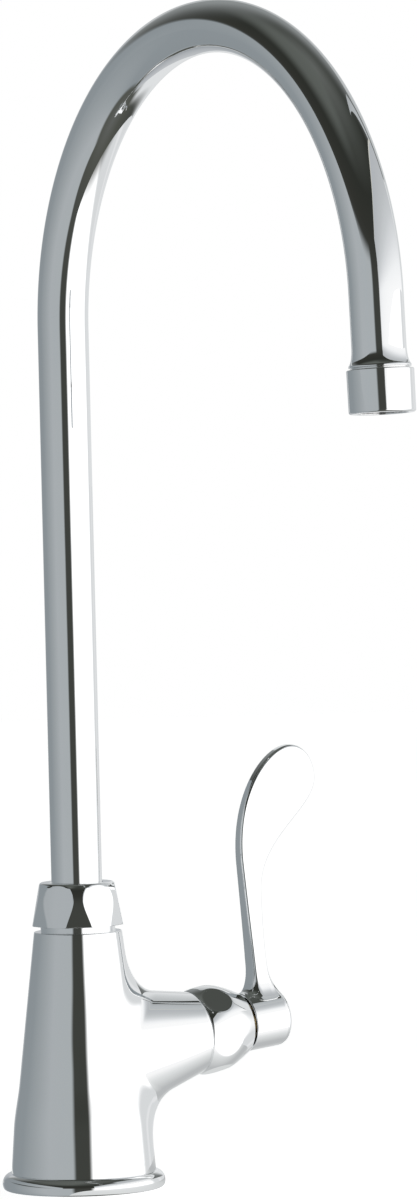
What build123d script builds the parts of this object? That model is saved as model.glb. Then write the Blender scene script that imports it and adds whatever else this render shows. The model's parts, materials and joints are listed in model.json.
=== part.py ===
from build123d import *
from math import cos, pi, radians, sin, sqrt
import os

# Single-lever gooseneck faucet, in millimetres.
# Origin on the deck at the body's axis, +Z up, spout towards -Y, valve arm towards +X.

# Running and seating clearances
RUNNING = 0.05
SEATING = 0.02
FREE_GAP = 0.3
GROOVE_WIDTH_SHARE = 1.25
OVERCUT = 1.0
FULL_TURN = 360.0

# Base ring and gasket under the body
RING_RADIUS = 30.5
RING_FOOT_RADIUS = 29.5
RING_HEIGHT = 6.0
RING_WIDEST_HEIGHT = 2.3
RING_BORE_RADIUS = 24.5
RING_LIP_WIDTH = 1.6
RING_CREST_FALL = 0.15
RING_FOOT_FALL = 2.0
GASKET_THICKNESS = 2.0
PILOT_RADIUS = 12.3

# Body casting: a slim cone with a fuller foot
FOOT_RADIUS = 27.1
BELLY_RADIUS = 25.8
BELLY_HEIGHT = 23.0
WAIST_RADIUS = 23.3
WAIST_HEIGHT = 39.5
SHOULDER_RADIUS = 16.5
SHOULDER_HEIGHT = 96.3
SHOULDER_ROUNDING = 0.4
BOSS_RADIUS = 14.0
BOSS_HEIGHT = 10.0

# Water ways in the body
INLET_THREAD_RADIUS = 9.3
INLET_THREAD_LENGTH = 20.0
INLET_WAY_RADIUS = 5.0
OUTLET_WAY_RADIUS = 4.0
SPOUT_BORE_RADIUS = 12.0
SPOUT_BORE_DEPTH = 24.0

# Valve arm: its axis leaves the body's axis at this height and climbs
ARM_HEIGHT = 49.7
ARM_CLIMB = 5.6
ARM_LENGTH = 49.4
ARM_END_RADIUS = 15.65
ARM_SPREAD_UP = 0.205
ARM_SPREAD_SIDE = 0.105
ARM_ROOT_DROP = 2.0
ARM_BLEND = 14.0
ARM_SINK = 1.0
ARM_BOSS_RADIUS = 12.6
ARM_BOSS_LENGTH = 5.6
VALVE_BORE_RADIUS = 10.0
VALVE_SEAT_DISTANCE = 18.0

# Gooseneck tube and its outlet
TUBE_RADIUS = 19.05 / 2
TUBE_WALL = 1.0
SPRING_LINE = 321.4
BEND_RADIUS = 105.6
BEND_ANGLE = 176.8
OUTLET_DROP = 17.8
FLARE_RADIUS = 10.9
FLARE_LENGTH = 7.5
FLARE_RIM = 0.8
FLARE_HANDLE = 4.0
FLARE_LIP_HANDLE = 0.7

# Swivel joint at the foot of the spout
SLEEVE_LENGTH = 21.5
SLEEVE_FOOT = 2.0
COLLAR_RADIUS = 13.3
COLLAR_THICKNESS = 2.0
SLIP_RING_THICKNESS = 1.2
SWIVEL_O_RING_SECTION = 1.78
SWIVEL_O_RING_COUNT = 2
SWIVEL_O_RING_PITCH = 7.0

# Domed spout nut with six flats
NUT_GAP = 2.2
NUT_HEIGHT = 16.25
NUT_RADIUS = 17.75
NUT_FOOT_EDGE = 0.5
NUT_WAIST_RADIUS = 17.15
NUT_WAIST_HEIGHT = 7.3
NUT_SHOULDER_RADIUS = 14.65
NUT_ROUNDING = 1.0
NUT_TOP_RADIUS = 12.9
NUT_FLAT = 17.05
NUT_FLAT_TOP = 14.0
NUT_TURN = 31.0
NUT_SIDES = 6

# Aerator
AERATOR_RADIUS = 11.75
AERATOR_END_RADIUS = 11.65
AERATOR_LENGTH = 15.2
AERATOR_GAP = 0.6
AERATOR_EDGE = 0.9
AERATOR_LIP = 1.3
AERATOR_MOUTH_RADIUS = 9.0
ADAPTER_THREAD_RADIUS = 10.2
ADAPTER_THREAD_LENGTH = 7.0
ADAPTER_BORE_RADIUS = 8.0
AERATOR_WASHER_THICKNESS = 1.5
AERATOR_WASHER_LAP = 0.4
INSERT_PLATE = 1.4
INSERT_JET_CIRCLE = 4.6
INSERT_JET_RADIUS = 0.6
INSERT_JET_COUNT = 12
INSERT_STEP = 0.5
SCREEN_THICKNESS = 0.4
SCREEN_HOLE = 1.1
SCREEN_PITCH = 1.8
SCREEN_RIM = 0.6
RESTRICTOR_RADIUS = 6.0
RESTRICTOR_THICKNESS = 1.6
RESTRICTOR_HOLE_RADIUS = 0.9
RESTRICTOR_HOLE_COUNT = 6
RESTRICTOR_CIRCLE = 3.6

# Valve bonnet, a domed nut with six oval flats
BONNET_RADIUS = 16.1
BONNET_LENGTH = 21.2
BONNET_BELLY_DISTANCE = 6.15
BONNET_SHOULDER_RADIUS = 14.6
BONNET_SHOULDER_DISTANCE = 15.6
BONNET_END_RADIUS = 11.1
BONNET_END_EDGE = 0.4
BONNET_END_ROUNDING = 1.0
BONNET_FLAT = 14.8
BONNET_FLAT_TURN = 40.0

# Quarter-turn cartridge
CARTRIDGE_FLANGE_RADIUS = 12.2
CARTRIDGE_FLANGE_THICKNESS = 3.0
CARTRIDGE_NECK_RADIUS = 8.0
CARTRIDGE_NECK_LENGTH = 10.5
CARTRIDGE_CAGE_RADIUS = 9.0
CARTRIDGE_CAGE_LENGTH = 15.0
CAGE_WINDOW_WIDTH = 8.0
CAGE_GAP = 0.4
CARTRIDGE_O_RING_SECTION = 1.5
DISC_RADIUS = 7.3
DISC_THICKNESS = 3.4
DISC_PORT_INNER = 1.6
DISC_PORT_OUTER = 6.0
DISC_PORT_WIDTH = 62.0
DISC_PORT_COUNT = 2
DISC_RECESS_DEPTH = 1.87
SEAT_SEAL_THICKNESS = 3.2
SEAT_SEAL_BORE = 6.2
THRUST_WASHER_THICKNESS = 0.9
STEM_RADIUS = 4.5
STEM_HEAD_THICKNESS = 2.6
STEM_LUG_REACH = 0.9
STEM_LUG_WIDTH = 30.0
LUG_ANGLE = 225.0
LUG_SPARE = 1.0
STOP_OVERLAP = 0.2
TONGUE_WIDTH = 3.0
TONGUE_LENGTH = 10.0
TONGUE_DEPTH = 1.1
STEM_O_RING_SECTION = 1.3
STEM_O_RING_COUNT = 2
STEM_O_RING_PITCH = 5.0
SPLINE_RADIUS = 4.2
SPLINE_DEPTH = 0.45
SPLINE_COUNT = 20
SPLINE_LENGTH = 12.0
SPLINE_SHOULDER = 1.0
SPLINE_TIP_SHARE = 0.16
SPLINE_ROOT_SHARE = 0.32
CLIP_RADIUS = 5.9
CLIP_THICKNESS = 0.9
CLIP_DEPTH = 0.5
CLIP_MOUTH = 6.3
QUARTER_TURN = 90.0

# Lever: a hub on the valve stem and a wrist blade
HUB_GAP = 1.5
HUB_RADIUS = 11.2
HUB_LENGTH = 16.7
HUB_ROUNDING = 3.0
HUB_INNER_EDGE = 0.5
BLADE_ROOT_THICKNESS = 8.2
BLADE_THICKNESS = 5.0
BLADE_TIP_THICKNESS = 4.4
BLADE_HEIGHT = 102.3
BLADE_NECK_HEIGHT = 60.0
BLADE_SHOULDER_HEIGHT = 89.5
BLADE_TOP_OFFSET = 26.8
BLADE_STRAIGHT_HEIGHT = 12.0
BLADE_TAPER_HEIGHT = 68.0
BLADE_TAPER_SLOPE = 0.01
BLADE_EDGE = 1.1
BLADE_BLEND = 2.2
NECK_OFFSET = 6.2
NECK_WIDTH = 7.0
BLADE_REACH = 43.5
CAP_RADIUS = 6.5
CAP_THICKNESS = 1.4
CAP_ROUNDING = 0.4
HUB_WEB = 1.4
SCREW_RADIUS = 2.0
SCREW_LENGTH = 12.0
SCREW_HEAD_RADIUS = 3.5
SCREW_HEAD_HEIGHT = 2.2
SCREW_HEX = 2.5
SCREW_SOCKET_DEPTH = 1.3

# Handles of the curves that bound the blade's broad face
LEFT_HANDLE = 22.0
TOP_HANDLE_LEFT = 12.0
TOP_HANDLE_RIGHT = 6.3
TIP_HANDLE = 7.0
PADDLE_HANDLE = 13.5
NECK_HANDLE = 26.0
NECK_CURVE_DROP = 20.0

# Places worked out from the sizes above
BOSS_TOP = SHOULDER_HEIGHT + BOSS_HEIGHT
COLLAR_BASE = BOSS_TOP + RUNNING
COLLAR_TOP = COLLAR_BASE + COLLAR_THICKNESS
SLIP_RING_TOP = COLLAR_TOP + RUNNING + SLIP_RING_THICKNESS
NUT_BASE = SHOULDER_HEIGHT + NUT_GAP
NUT_TOP = NUT_BASE + NUT_HEIGHT
SLEEVE_RADIUS = SPOUT_BORE_RADIUS - RUNNING
SLEEVE_BASE = COLLAR_BASE - SLEEVE_LENGTH
TUBE_BASE = SLEEVE_BASE + SLEEVE_FOOT
TUBE_BORE_RADIUS = TUBE_RADIUS - TUBE_WALL
ARM_BOSS_END = ARM_LENGTH + ARM_BOSS_LENGTH
FLANGE_TOP = ARM_BOSS_END + CARTRIDGE_FLANGE_THICKNESS
NECK_END = FLANGE_TOP + CARTRIDGE_NECK_LENGTH
BONNET_END = ARM_LENGTH + BONNET_LENGTH
HUB_BASE = BONNET_END + HUB_GAP
HUB_END = HUB_BASE + HUB_LENGTH
DISC_BASE = VALVE_SEAT_DISTANCE + SEAT_SEAL_THICKNESS
MOVING_DISC_BASE = DISC_BASE + DISC_THICKNESS + SEATING
STEM_HEAD_BASE = MOVING_DISC_BASE + DISC_THICKNESS + SEATING
STEM_HEAD_TOP = STEM_HEAD_BASE + STEM_HEAD_THICKNESS
CHAMBER_TOP = STEM_HEAD_TOP + THRUST_WASHER_THICKNESS + 2 * RUNNING
CHAMBER_RADIUS = DISC_RADIUS + RUNNING
CAGE_TOP = VALVE_SEAT_DISTANCE + SEAT_SEAL_THICKNESS + CARTRIDGE_CAGE_LENGTH
CARTRIDGE_RADIUS = VALVE_BORE_RADIUS - SEATING
CLIP_BASE = NECK_END + RUNNING
SPLINE_BASE = CLIP_BASE + CLIP_THICKNESS + SPLINE_SHOULDER
STEM_END = SPLINE_BASE + SPLINE_LENGTH
STEM_BORE_RADIUS = STEM_RADIUS + RUNNING
SCREW_SEAT = STEM_END + FREE_GAP + HUB_WEB
SCREW_END = SCREW_SEAT - SCREW_LENGTH

ARM = Plane(
    origin=(0, 0, ARM_HEIGHT),
    x_dir=(-sin(radians(ARM_CLIMB)), 0, cos(radians(ARM_CLIMB))),
    z_dir=(cos(radians(ARM_CLIMB)), 0, sin(radians(ARM_CLIMB))),
)


def outlet_plane():
    """The plane square to the tube at the end of its bend, its Z along the flow."""
    turn = radians(BEND_ANGLE)
    centre_y = -BEND_RADIUS
    return Plane(
        origin=(0, centre_y + BEND_RADIUS * cos(turn), SPRING_LINE + BEND_RADIUS * sin(turn)),
        x_dir=(1, 0, 0),
        z_dir=(0, -sin(turn), cos(turn)),
    )


OUTLET = outlet_plane()
FLARE_START = OUTLET_DROP
FLARE_END = FLARE_START + FLARE_LENGTH
SHELL_TOP = FLARE_END + AERATOR_GAP
SHELL_END = SHELL_TOP + AERATOR_LENGTH
ADAPTER_END = FLARE_END + ADAPTER_THREAD_LENGTH
LIP_TOP = SHELL_END - AERATOR_LIP
INSERT_TOP = ADAPTER_END + AERATOR_WASHER_THICKNESS


def turned(*edges):
    """A solid of revolution about Z from a closed profile given as (radius, height) edges."""
    return revolve(Plane.XZ * make_face(Wire(edges)), Axis.Z)


def turned_outline(*points):
    """A solid of revolution about Z from the straight-sided profile through (radius, height) points."""
    return revolve(Plane.XZ * make_face(Polyline(*points, close=True)), Axis.Z)


def ring(inner, outer, low, high):
    """A plain ring or washer about Z."""
    return turned_outline((inner, low), (outer, low), (outer, high), (inner, high))


def rod(radius, low, high):
    """A plain round rod about Z."""
    return Pos(0, 0, low) * Cylinder(radius, high - low, align=(Align.CENTER, Align.CENTER, Align.MIN))


def seal(bore, section, height):
    """A round-section seal that fills the space between its groove's floor and the bore around it."""
    return Pos(0, 0, height) * Torus(bore - section / 2, section / 2 - SEATING)


def groove(bore, section, height):
    """The cut for a seal: its floor lies one section below the bore around the shaft."""
    half = GROOVE_WIDTH_SHARE * section / 2
    return ring(bore - section, bore + OVERCUT, height - half, height + half)


def body_outline():
    """The casting's outer profile, from the foot to the shoulder, as (radius, height) edges."""
    foot = (FOOT_RADIUS, RING_HEIGHT)
    belly = (BELLY_RADIUS, BELLY_HEIGHT)
    waist = (WAIST_RADIUS, WAIST_HEIGHT)
    shoulder = (SHOULDER_RADIUS, SHOULDER_HEIGHT)
    low = Line(foot, belly)
    high = Line(waist, shoulder)
    blend = Spline(belly, waist, tangents=[low % 1, high % 0])
    return low, blend, high


def body_radius(height):
    """The cone's radius at a height between the waist and the shoulder."""
    share = (height - WAIST_HEIGHT) / (SHOULDER_HEIGHT - WAIST_HEIGHT)
    return WAIST_RADIUS + share * (SHOULDER_RADIUS - WAIST_RADIUS)


def arm_form():
    """The arm's outer form: it narrows from an upright oval inside the body, set low, to a round end."""
    upright = ARM_END_RADIUS + ARM_SPREAD_UP * ARM_LENGTH
    side = min(ARM_END_RADIUS + ARM_SPREAD_SIDE * ARM_LENGTH, body_radius(ARM_HEIGHT) - ARM_SINK)
    root = Pos(-ARM_ROOT_DROP, 0) * Ellipse(upright + ARM_ROOT_DROP, side)
    end = Pos(0, 0, ARM_LENGTH) * Circle(ARM_END_RADIUS)
    return loft([root.face(), end.face()])


def faucet_body():
    """The casting: cone, valve arm, threaded bosses and the water ways."""
    low, blend, high = body_outline()
    spigot = RING_BORE_RADIUS - SEATING
    under = Polyline(
        (0, SHOULDER_HEIGHT), (0, 0), (PILOT_RADIUS, 0), (PILOT_RADIUS, GASKET_THICKNESS),
        (spigot, GASKET_THICKNESS), (spigot, RING_HEIGHT), (FOOT_RADIUS, RING_HEIGHT),
    )
    top = Line((SHOULDER_RADIUS, SHOULDER_HEIGHT), (0, SHOULDER_HEIGHT))
    cone = turned(*under.edges(), low, blend, high, top)
    cone = fillet(cone.edges().group_by(Axis.Z)[-1], SHOULDER_ROUNDING)
    arm = ARM * arm_form()
    joined = cone + arm
    casting = fillet(new_edges(cone, arm, combined=joined), ARM_BLEND)
    casting += rod(BOSS_RADIUS, ARM_HEIGHT, BOSS_TOP)
    casting += ARM * rod(ARM_BOSS_RADIUS, VALVE_SEAT_DISTANCE, ARM_BOSS_END)
    spout_floor = BOSS_TOP - SPOUT_BORE_DEPTH
    casting -= rod(SPOUT_BORE_RADIUS, spout_floor, BOSS_TOP)
    casting -= rod(INLET_THREAD_RADIUS, 0, INLET_THREAD_LENGTH)
    casting -= rod(INLET_WAY_RADIUS, 0, ARM_HEIGHT)
    casting -= ARM * rod(INLET_WAY_RADIUS, 0, VALVE_SEAT_DISTANCE)
    casting -= Pos(0, 0, ARM_HEIGHT) * Sphere(INLET_WAY_RADIUS)
    casting -= ARM * rod(VALVE_BORE_RADIUS, VALVE_SEAT_DISTANCE, ARM_BOSS_END)
    chamber = ARM.from_local_coords(Vector(VALVE_BORE_RADIUS / 2, 0, DISC_BASE))
    casting -= way(Vector(OUTLET_WAY_RADIUS / 2, 0, spout_floor + OVERCUT), chamber, OUTLET_WAY_RADIUS)
    return casting


def way(start, end, radius):
    """A drilled water way from one point to another."""
    run = end - start
    return Plane(origin=start, z_dir=run) * rod(radius, 0, run.length)


def base_ring():
    """The rounded bead that stands on the deck and carries the cone."""
    crest = Spline(
        (FOOT_RADIUS, RING_HEIGHT), (RING_RADIUS, RING_WIDEST_HEIGHT), (RING_FOOT_RADIUS, 0),
        tangents=[(1, -RING_CREST_FALL), (-1, -RING_FOOT_FALL)],
    )
    lip = RING_FOOT_RADIUS - RING_LIP_WIDTH
    under = Polyline(
        (RING_FOOT_RADIUS, 0), (lip, 0), (lip, GASKET_THICKNESS), (RING_BORE_RADIUS, GASKET_THICKNESS),
        (RING_BORE_RADIUS, RING_HEIGHT), (FOOT_RADIUS, RING_HEIGHT),
    )
    return turned(crest, *under.edges())


def base_gasket():
    return ring(PILOT_RADIUS + FREE_GAP / 2, RING_FOOT_RADIUS - RING_LIP_WIDTH - SEATING, 0, GASKET_THICKNESS)


def domed_nut(outline, flat_curve, turn):
    """A turned nut cut by double-sided slabs, each of which leaves two opposite flats."""
    nut = outline
    side = make_face(Wire([flat_curve, *close_slab(flat_curve)]))
    half = extrude(Plane.XZ * side, outline.bounding_box().size.X, both=True)
    slab = half + half.mirror(Plane.YZ)
    for k in range(NUT_SIDES // 2):
        nut &= Rot(0, 0, turn + k * FULL_TURN / NUT_SIDES) * slab
    return nut


def close_slab(curve):
    """Straight edges that close a slab's half profile back to the turning axis."""
    first = curve @ 0
    last = curve @ 1
    return Polyline(last, (0, last.Y), (0, first.Y), first).edges()


def spout_nut():
    """The domed hexagon that holds the spout down on the body."""
    low = NUT_BASE
    side = Spline(
        (NUT_RADIUS, low + NUT_FOOT_EDGE), (NUT_WAIST_RADIUS, low + NUT_WAIST_HEIGHT),
        (NUT_SHOULDER_RADIUS, NUT_TOP - NUT_ROUNDING),
    )
    corner = (side @ 1) + (side % 1) * NUT_ROUNDING
    rounding = Bezier(side @ 1, corner, (NUT_TOP_RADIUS, NUT_TOP))
    hole = TUBE_RADIUS + FREE_GAP
    rest = Polyline(
        (NUT_TOP_RADIUS, NUT_TOP), (hole, NUT_TOP), (hole, SLIP_RING_TOP),
        (COLLAR_RADIUS + FREE_GAP, SLIP_RING_TOP), (COLLAR_RADIUS + FREE_GAP, BOSS_TOP + SEATING),
        (BOSS_RADIUS + SEATING, BOSS_TOP + SEATING), (BOSS_RADIUS + SEATING, low),
        (NUT_RADIUS - NUT_FOOT_EDGE, low), side @ 0,
    )
    flats = Line((NUT_FLAT, low), (NUT_FLAT_TOP, NUT_TOP))
    return domed_nut(turned(side, rounding, *rest.edges()), flats, NUT_TURN)


def spout_path():
    """The tube's centre line: riser, bend and the short drop."""
    bend_end = OUTLET.origin
    return Wire([
        Line((0, 0, TUBE_BASE), (0, 0, SPRING_LINE)),
        Edge.make_circle(
            BEND_RADIUS,
            Plane(origin=(0, -BEND_RADIUS, SPRING_LINE), x_dir=(0, 1, 0), z_dir=(1, 0, 0)),
            0, BEND_ANGLE,
        ),
        Line(bend_end, OUTLET.from_local_coords(Vector(0, 0, FLARE_START))),
    ])


def spout_tube():
    """The bent tube with its flared mouth."""
    path = spout_path()
    tube = sweep(Pos(0, 0, TUBE_BASE) * Circle(TUBE_RADIUS), path)
    tube -= sweep(Pos(0, 0, TUBE_BASE) * Circle(TUBE_BORE_RADIUS), path)
    rim = FLARE_END - FLARE_RIM
    outer = Bezier(
        (TUBE_RADIUS, FLARE_START), (TUBE_RADIUS, FLARE_START + FLARE_HANDLE),
        (FLARE_RADIUS - FLARE_LIP_HANDLE, rim - FLARE_LIP_HANDLE), (FLARE_RADIUS, rim),
    )
    inner = Polyline((FLARE_RADIUS, rim), (FLARE_RADIUS, FLARE_END), (TUBE_RADIUS, FLARE_END),
                     (TUBE_BORE_RADIUS, FLARE_START), (TUBE_RADIUS, FLARE_START))
    return tube + OUTLET * turned(outer, *inner.edges())


def spout_sleeve():
    """The brass sleeve on the tube's foot: it turns in the body and its collar lies under the nut."""
    socket = TUBE_RADIUS + SEATING
    sleeve = turned_outline(
        (TUBE_BORE_RADIUS, SLEEVE_BASE), (SLEEVE_RADIUS, SLEEVE_BASE), (SLEEVE_RADIUS, COLLAR_BASE),
        (COLLAR_RADIUS, COLLAR_BASE), (COLLAR_RADIUS, COLLAR_TOP), (socket, COLLAR_TOP),
        (socket, TUBE_BASE), (TUBE_BORE_RADIUS, TUBE_BASE),
    )
    for height in swivel_seal_heights():
        sleeve -= groove(SPOUT_BORE_RADIUS, SWIVEL_O_RING_SECTION, height)
    return sleeve


def swivel_seal_heights():
    """Heights of the swivel's seals, spread evenly about the sleeve's middle."""
    middle = (SLEEVE_BASE + COLLAR_BASE) / 2
    spread = SWIVEL_O_RING_PITCH * (SWIVEL_O_RING_COUNT - 1)
    return [middle - spread / 2 + k * SWIVEL_O_RING_PITCH for k in range(SWIVEL_O_RING_COUNT)]


def spout_o_rings():
    places = swivel_seal_heights()
    return Compound([seal(SPOUT_BORE_RADIUS, SWIVEL_O_RING_SECTION, place) for place in places])


def spout_slip_ring():
    return ring(TUBE_RADIUS + FREE_GAP, COLLAR_RADIUS, COLLAR_TOP + RUNNING, SLIP_RING_TOP)


def outlet_adapter():
    """The threaded ring fixed in the flared mouth, which carries the aerator."""
    return OUTLET * turned_outline(
        (ADAPTER_BORE_RADIUS, FLARE_START), (TUBE_BORE_RADIUS - SEATING, FLARE_START),
        (TUBE_RADIUS - SEATING, FLARE_END), (ADAPTER_THREAD_RADIUS, FLARE_END),
        (ADAPTER_THREAD_RADIUS, ADAPTER_END), (ADAPTER_BORE_RADIUS, ADAPTER_END),
    )


def aerator_shell():
    """The outer shell: a slightly tapered sleeve with an inward lip at the mouth."""
    bore = ADAPTER_THREAD_RADIUS + SEATING
    shell = turned_outline(
        (bore, SHELL_TOP), (AERATOR_RADIUS, SHELL_TOP), (AERATOR_END_RADIUS, SHELL_END),
        (AERATOR_MOUTH_RADIUS, SHELL_END), (AERATOR_MOUTH_RADIUS, LIP_TOP), (bore, LIP_TOP),
    )
    foot = shell.edges().group_by(Axis.Z)[-1].sort_by(lambda edge: edge.radius)[-1]
    return OUTLET * fillet(foot, AERATOR_EDGE)


def aerator_washer():
    outer = ADAPTER_THREAD_RADIUS - SEATING
    return OUTLET * ring(ADAPTER_BORE_RADIUS - AERATOR_WASHER_LAP, outer, ADAPTER_END, INSERT_TOP)


def aerator_insert():
    """The moulded cup that mixes air into the stream."""
    outer = ADAPTER_THREAD_RADIUS - SEATING
    plate = INSERT_TOP + INSERT_PLATE
    wall = AERATOR_MOUTH_RADIUS - INSERT_STEP
    cup = turned_outline(
        (0, INSERT_TOP), (outer, INSERT_TOP), (outer, LIP_TOP), (wall, LIP_TOP), (wall, plate), (0, plate),
    )
    jet = rod(INSERT_JET_RADIUS, INSERT_TOP - OVERCUT, plate + OVERCUT)
    for place in PolarLocations(INSERT_JET_CIRCLE, INSERT_JET_COUNT):
        cup -= place * jet
    return OUTLET * cup


def flow_restrictor():
    """The small perforated disc on top of the insert."""
    low = INSERT_TOP - RESTRICTOR_THICKNESS
    disc = rod(RESTRICTOR_RADIUS, low, INSERT_TOP)
    hole = rod(RESTRICTOR_HOLE_RADIUS, low - OVERCUT, INSERT_TOP + OVERCUT)
    for place in PolarLocations(RESTRICTOR_CIRCLE, RESTRICTOR_HOLE_COUNT):
        disc -= place * hole
    return OUTLET * disc


def aerator_screen():
    """The square mesh across the mouth."""
    disc = rod(AERATOR_MOUTH_RADIUS - SEATING, LIP_TOP, LIP_TOP + SCREEN_THICKNESS)
    reach = AERATOR_MOUTH_RADIUS - SCREEN_HOLE - SCREEN_RIM
    count = int(reach / SCREEN_PITCH)
    hole = Box(SCREEN_HOLE, SCREEN_HOLE, 2 * (SCREEN_THICKNESS + OVERCUT))
    cuts = [
        Pos(i * SCREEN_PITCH, j * SCREEN_PITCH, LIP_TOP) * hole
        for i in range(-count, count + 1)
        for j in range(-count, count + 1)
        if sqrt(i * i + j * j) * SCREEN_PITCH < reach
    ]
    return OUTLET * (disc - cuts)


def valve_bonnet():
    """The domed nut that clamps the cartridge in the arm, with six oval flats."""
    low = ARM_LENGTH
    crown = Spline(
        (ARM_END_RADIUS, low), (BONNET_RADIUS, low + BONNET_BELLY_DISTANCE),
        (BONNET_SHOULDER_RADIUS, low + BONNET_SHOULDER_DISTANCE),
        (BONNET_END_RADIUS + BONNET_END_ROUNDING, BONNET_END - BONNET_END_EDGE),
    )
    hole = CARTRIDGE_NECK_RADIUS + SEATING
    bore = ARM_BOSS_RADIUS + SEATING
    inside = FLANGE_TOP + SEATING
    rest = Polyline(
        crown @ 1, (BONNET_END_RADIUS, BONNET_END), (hole, BONNET_END), (hole, inside), (bore, inside),
        (bore, low), crown @ 0,
    )
    flats = Line((BONNET_FLAT, low - OVERCUT), (BONNET_FLAT, BONNET_END + OVERCUT))
    return ARM * domed_nut(turned(crown, *rest.edges()), flats, BONNET_FLAT_TURN)


def cartridge_body():
    """The brass headwork: cage for the discs, sealed barrel, clamped flange and stem guide."""
    low = VALVE_SEAT_DISTANCE + CAGE_GAP
    shell = turned_outline(
        (CHAMBER_RADIUS, low), (CARTRIDGE_CAGE_RADIUS, low), (CARTRIDGE_CAGE_RADIUS, CAGE_TOP),
        (CARTRIDGE_RADIUS, CAGE_TOP), (CARTRIDGE_RADIUS, ARM_BOSS_END),
        (CARTRIDGE_FLANGE_RADIUS, ARM_BOSS_END), (CARTRIDGE_FLANGE_RADIUS, FLANGE_TOP),
        (CARTRIDGE_NECK_RADIUS, FLANGE_TOP), (CARTRIDGE_NECK_RADIUS, NECK_END),
        (STEM_BORE_RADIUS, NECK_END), (STEM_BORE_RADIUS, CHAMBER_TOP), (CHAMBER_RADIUS, CHAMBER_TOP),
    )
    shell -= groove(VALVE_BORE_RADIUS, CARTRIDGE_O_RING_SECTION, cartridge_seal_place())
    window = STEM_HEAD_BASE - MOVING_DISC_BASE
    across = Box(4 * CARTRIDGE_RADIUS, CAGE_WINDOW_WIDTH, window - 2 * SEATING)
    shell -= Pos(0, 0, MOVING_DISC_BASE + window / 2) * across
    stop = sector(
        CHAMBER_RADIUS - STOP_OVERLAP, DISC_RADIUS + STEM_LUG_REACH + RUNNING, STEM_HEAD_BASE - RUNNING,
        STEM_HEAD_TOP + RUNNING, LUG_ANGLE + QUARTER_TURN / 2, QUARTER_TURN + STEM_LUG_WIDTH + 2 * LUG_SPARE,
    )
    return ARM * (shell - stop)


def sector(inner, outer, low, high, middle, width):
    """A part of a ring about Z, its middle at an angle from the local X."""
    face = make_face(Polyline((inner, low), (outer, low), (outer, high), (inner, high), close=True))
    return Rot(0, 0, middle - width / 2) * revolve(Plane.XZ * face, Axis.Z, revolution_arc=width)


def cartridge_seal_place():
    return (CAGE_TOP + ARM_LENGTH) / 2


def cartridge_o_ring():
    return ARM * seal(VALVE_BORE_RADIUS, CARTRIDGE_O_RING_SECTION, cartridge_seal_place())


def seat_seal():
    return ARM * ring(SEAT_SEAL_BORE, DISC_RADIUS, VALVE_SEAT_DISTANCE + SEATING, DISC_BASE)


def port_angles(first):
    """Angles of the ports round a disc, from the first one on."""
    return [first + k * FULL_TURN / DISC_PORT_COUNT for k in range(DISC_PORT_COUNT)]


def fixed_disc():
    """The lower ceramic disc, with two opposite ports."""
    disc = rod(DISC_RADIUS, DISC_BASE, DISC_BASE + DISC_THICKNESS)
    for middle in port_angles(0):
        disc -= sector(DISC_PORT_INNER, DISC_PORT_OUTER, DISC_BASE - OVERCUT,
                       DISC_BASE + DISC_THICKNESS + OVERCUT, middle, DISC_PORT_WIDTH)
    return ARM * disc


def moving_disc():
    """The upper ceramic disc: side-opening recesses below, a driving slot above."""
    top = MOVING_DISC_BASE + DISC_THICKNESS
    disc = rod(DISC_RADIUS, MOVING_DISC_BASE, top)
    for middle in port_angles(QUARTER_TURN):
        disc -= sector(DISC_PORT_INNER, 2 * DISC_RADIUS, MOVING_DISC_BASE - OVERCUT,
                       MOVING_DISC_BASE + DISC_RECESS_DEPTH, middle, DISC_PORT_WIDTH)
    slot = Box(TONGUE_WIDTH + 2 * RUNNING, TONGUE_LENGTH + 2 * RUNNING, 2 * (TONGUE_DEPTH + RUNNING))
    return ARM * (disc - Pos(0, 0, top) * slot)


def thrust_washer():
    return ARM * ring(STEM_BORE_RADIUS, DISC_RADIUS, STEM_HEAD_TOP + RUNNING, CHAMBER_TOP - RUNNING)


def stem_seal_places():
    """Places of the stem's seals along the arm, spread evenly about the barrel's middle."""
    middle = (CAGE_TOP + FLANGE_TOP) / 2
    spread = STEM_O_RING_PITCH * (STEM_O_RING_COUNT - 1)
    return [middle - spread / 2 + k * STEM_O_RING_PITCH for k in range(STEM_O_RING_COUNT)]


def splines(allowance):
    """The splined outline as a face, grown outwards by an allowance."""
    outer = SPLINE_RADIUS + allowance
    inner = SPLINE_RADIUS - SPLINE_DEPTH + allowance
    pitch = 2 * pi / SPLINE_COUNT
    corners = (
        (inner, -SPLINE_ROOT_SHARE), (outer, -SPLINE_TIP_SHARE), (outer, SPLINE_TIP_SHARE),
        (inner, SPLINE_ROOT_SHARE),
    )
    points = []
    for k in range(SPLINE_COUNT):
        for radius, share in corners:
            angle = (k + share) * pitch
            points.append((radius * cos(angle), radius * sin(angle)))
    return make_face(Polyline(*points, close=True))


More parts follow.
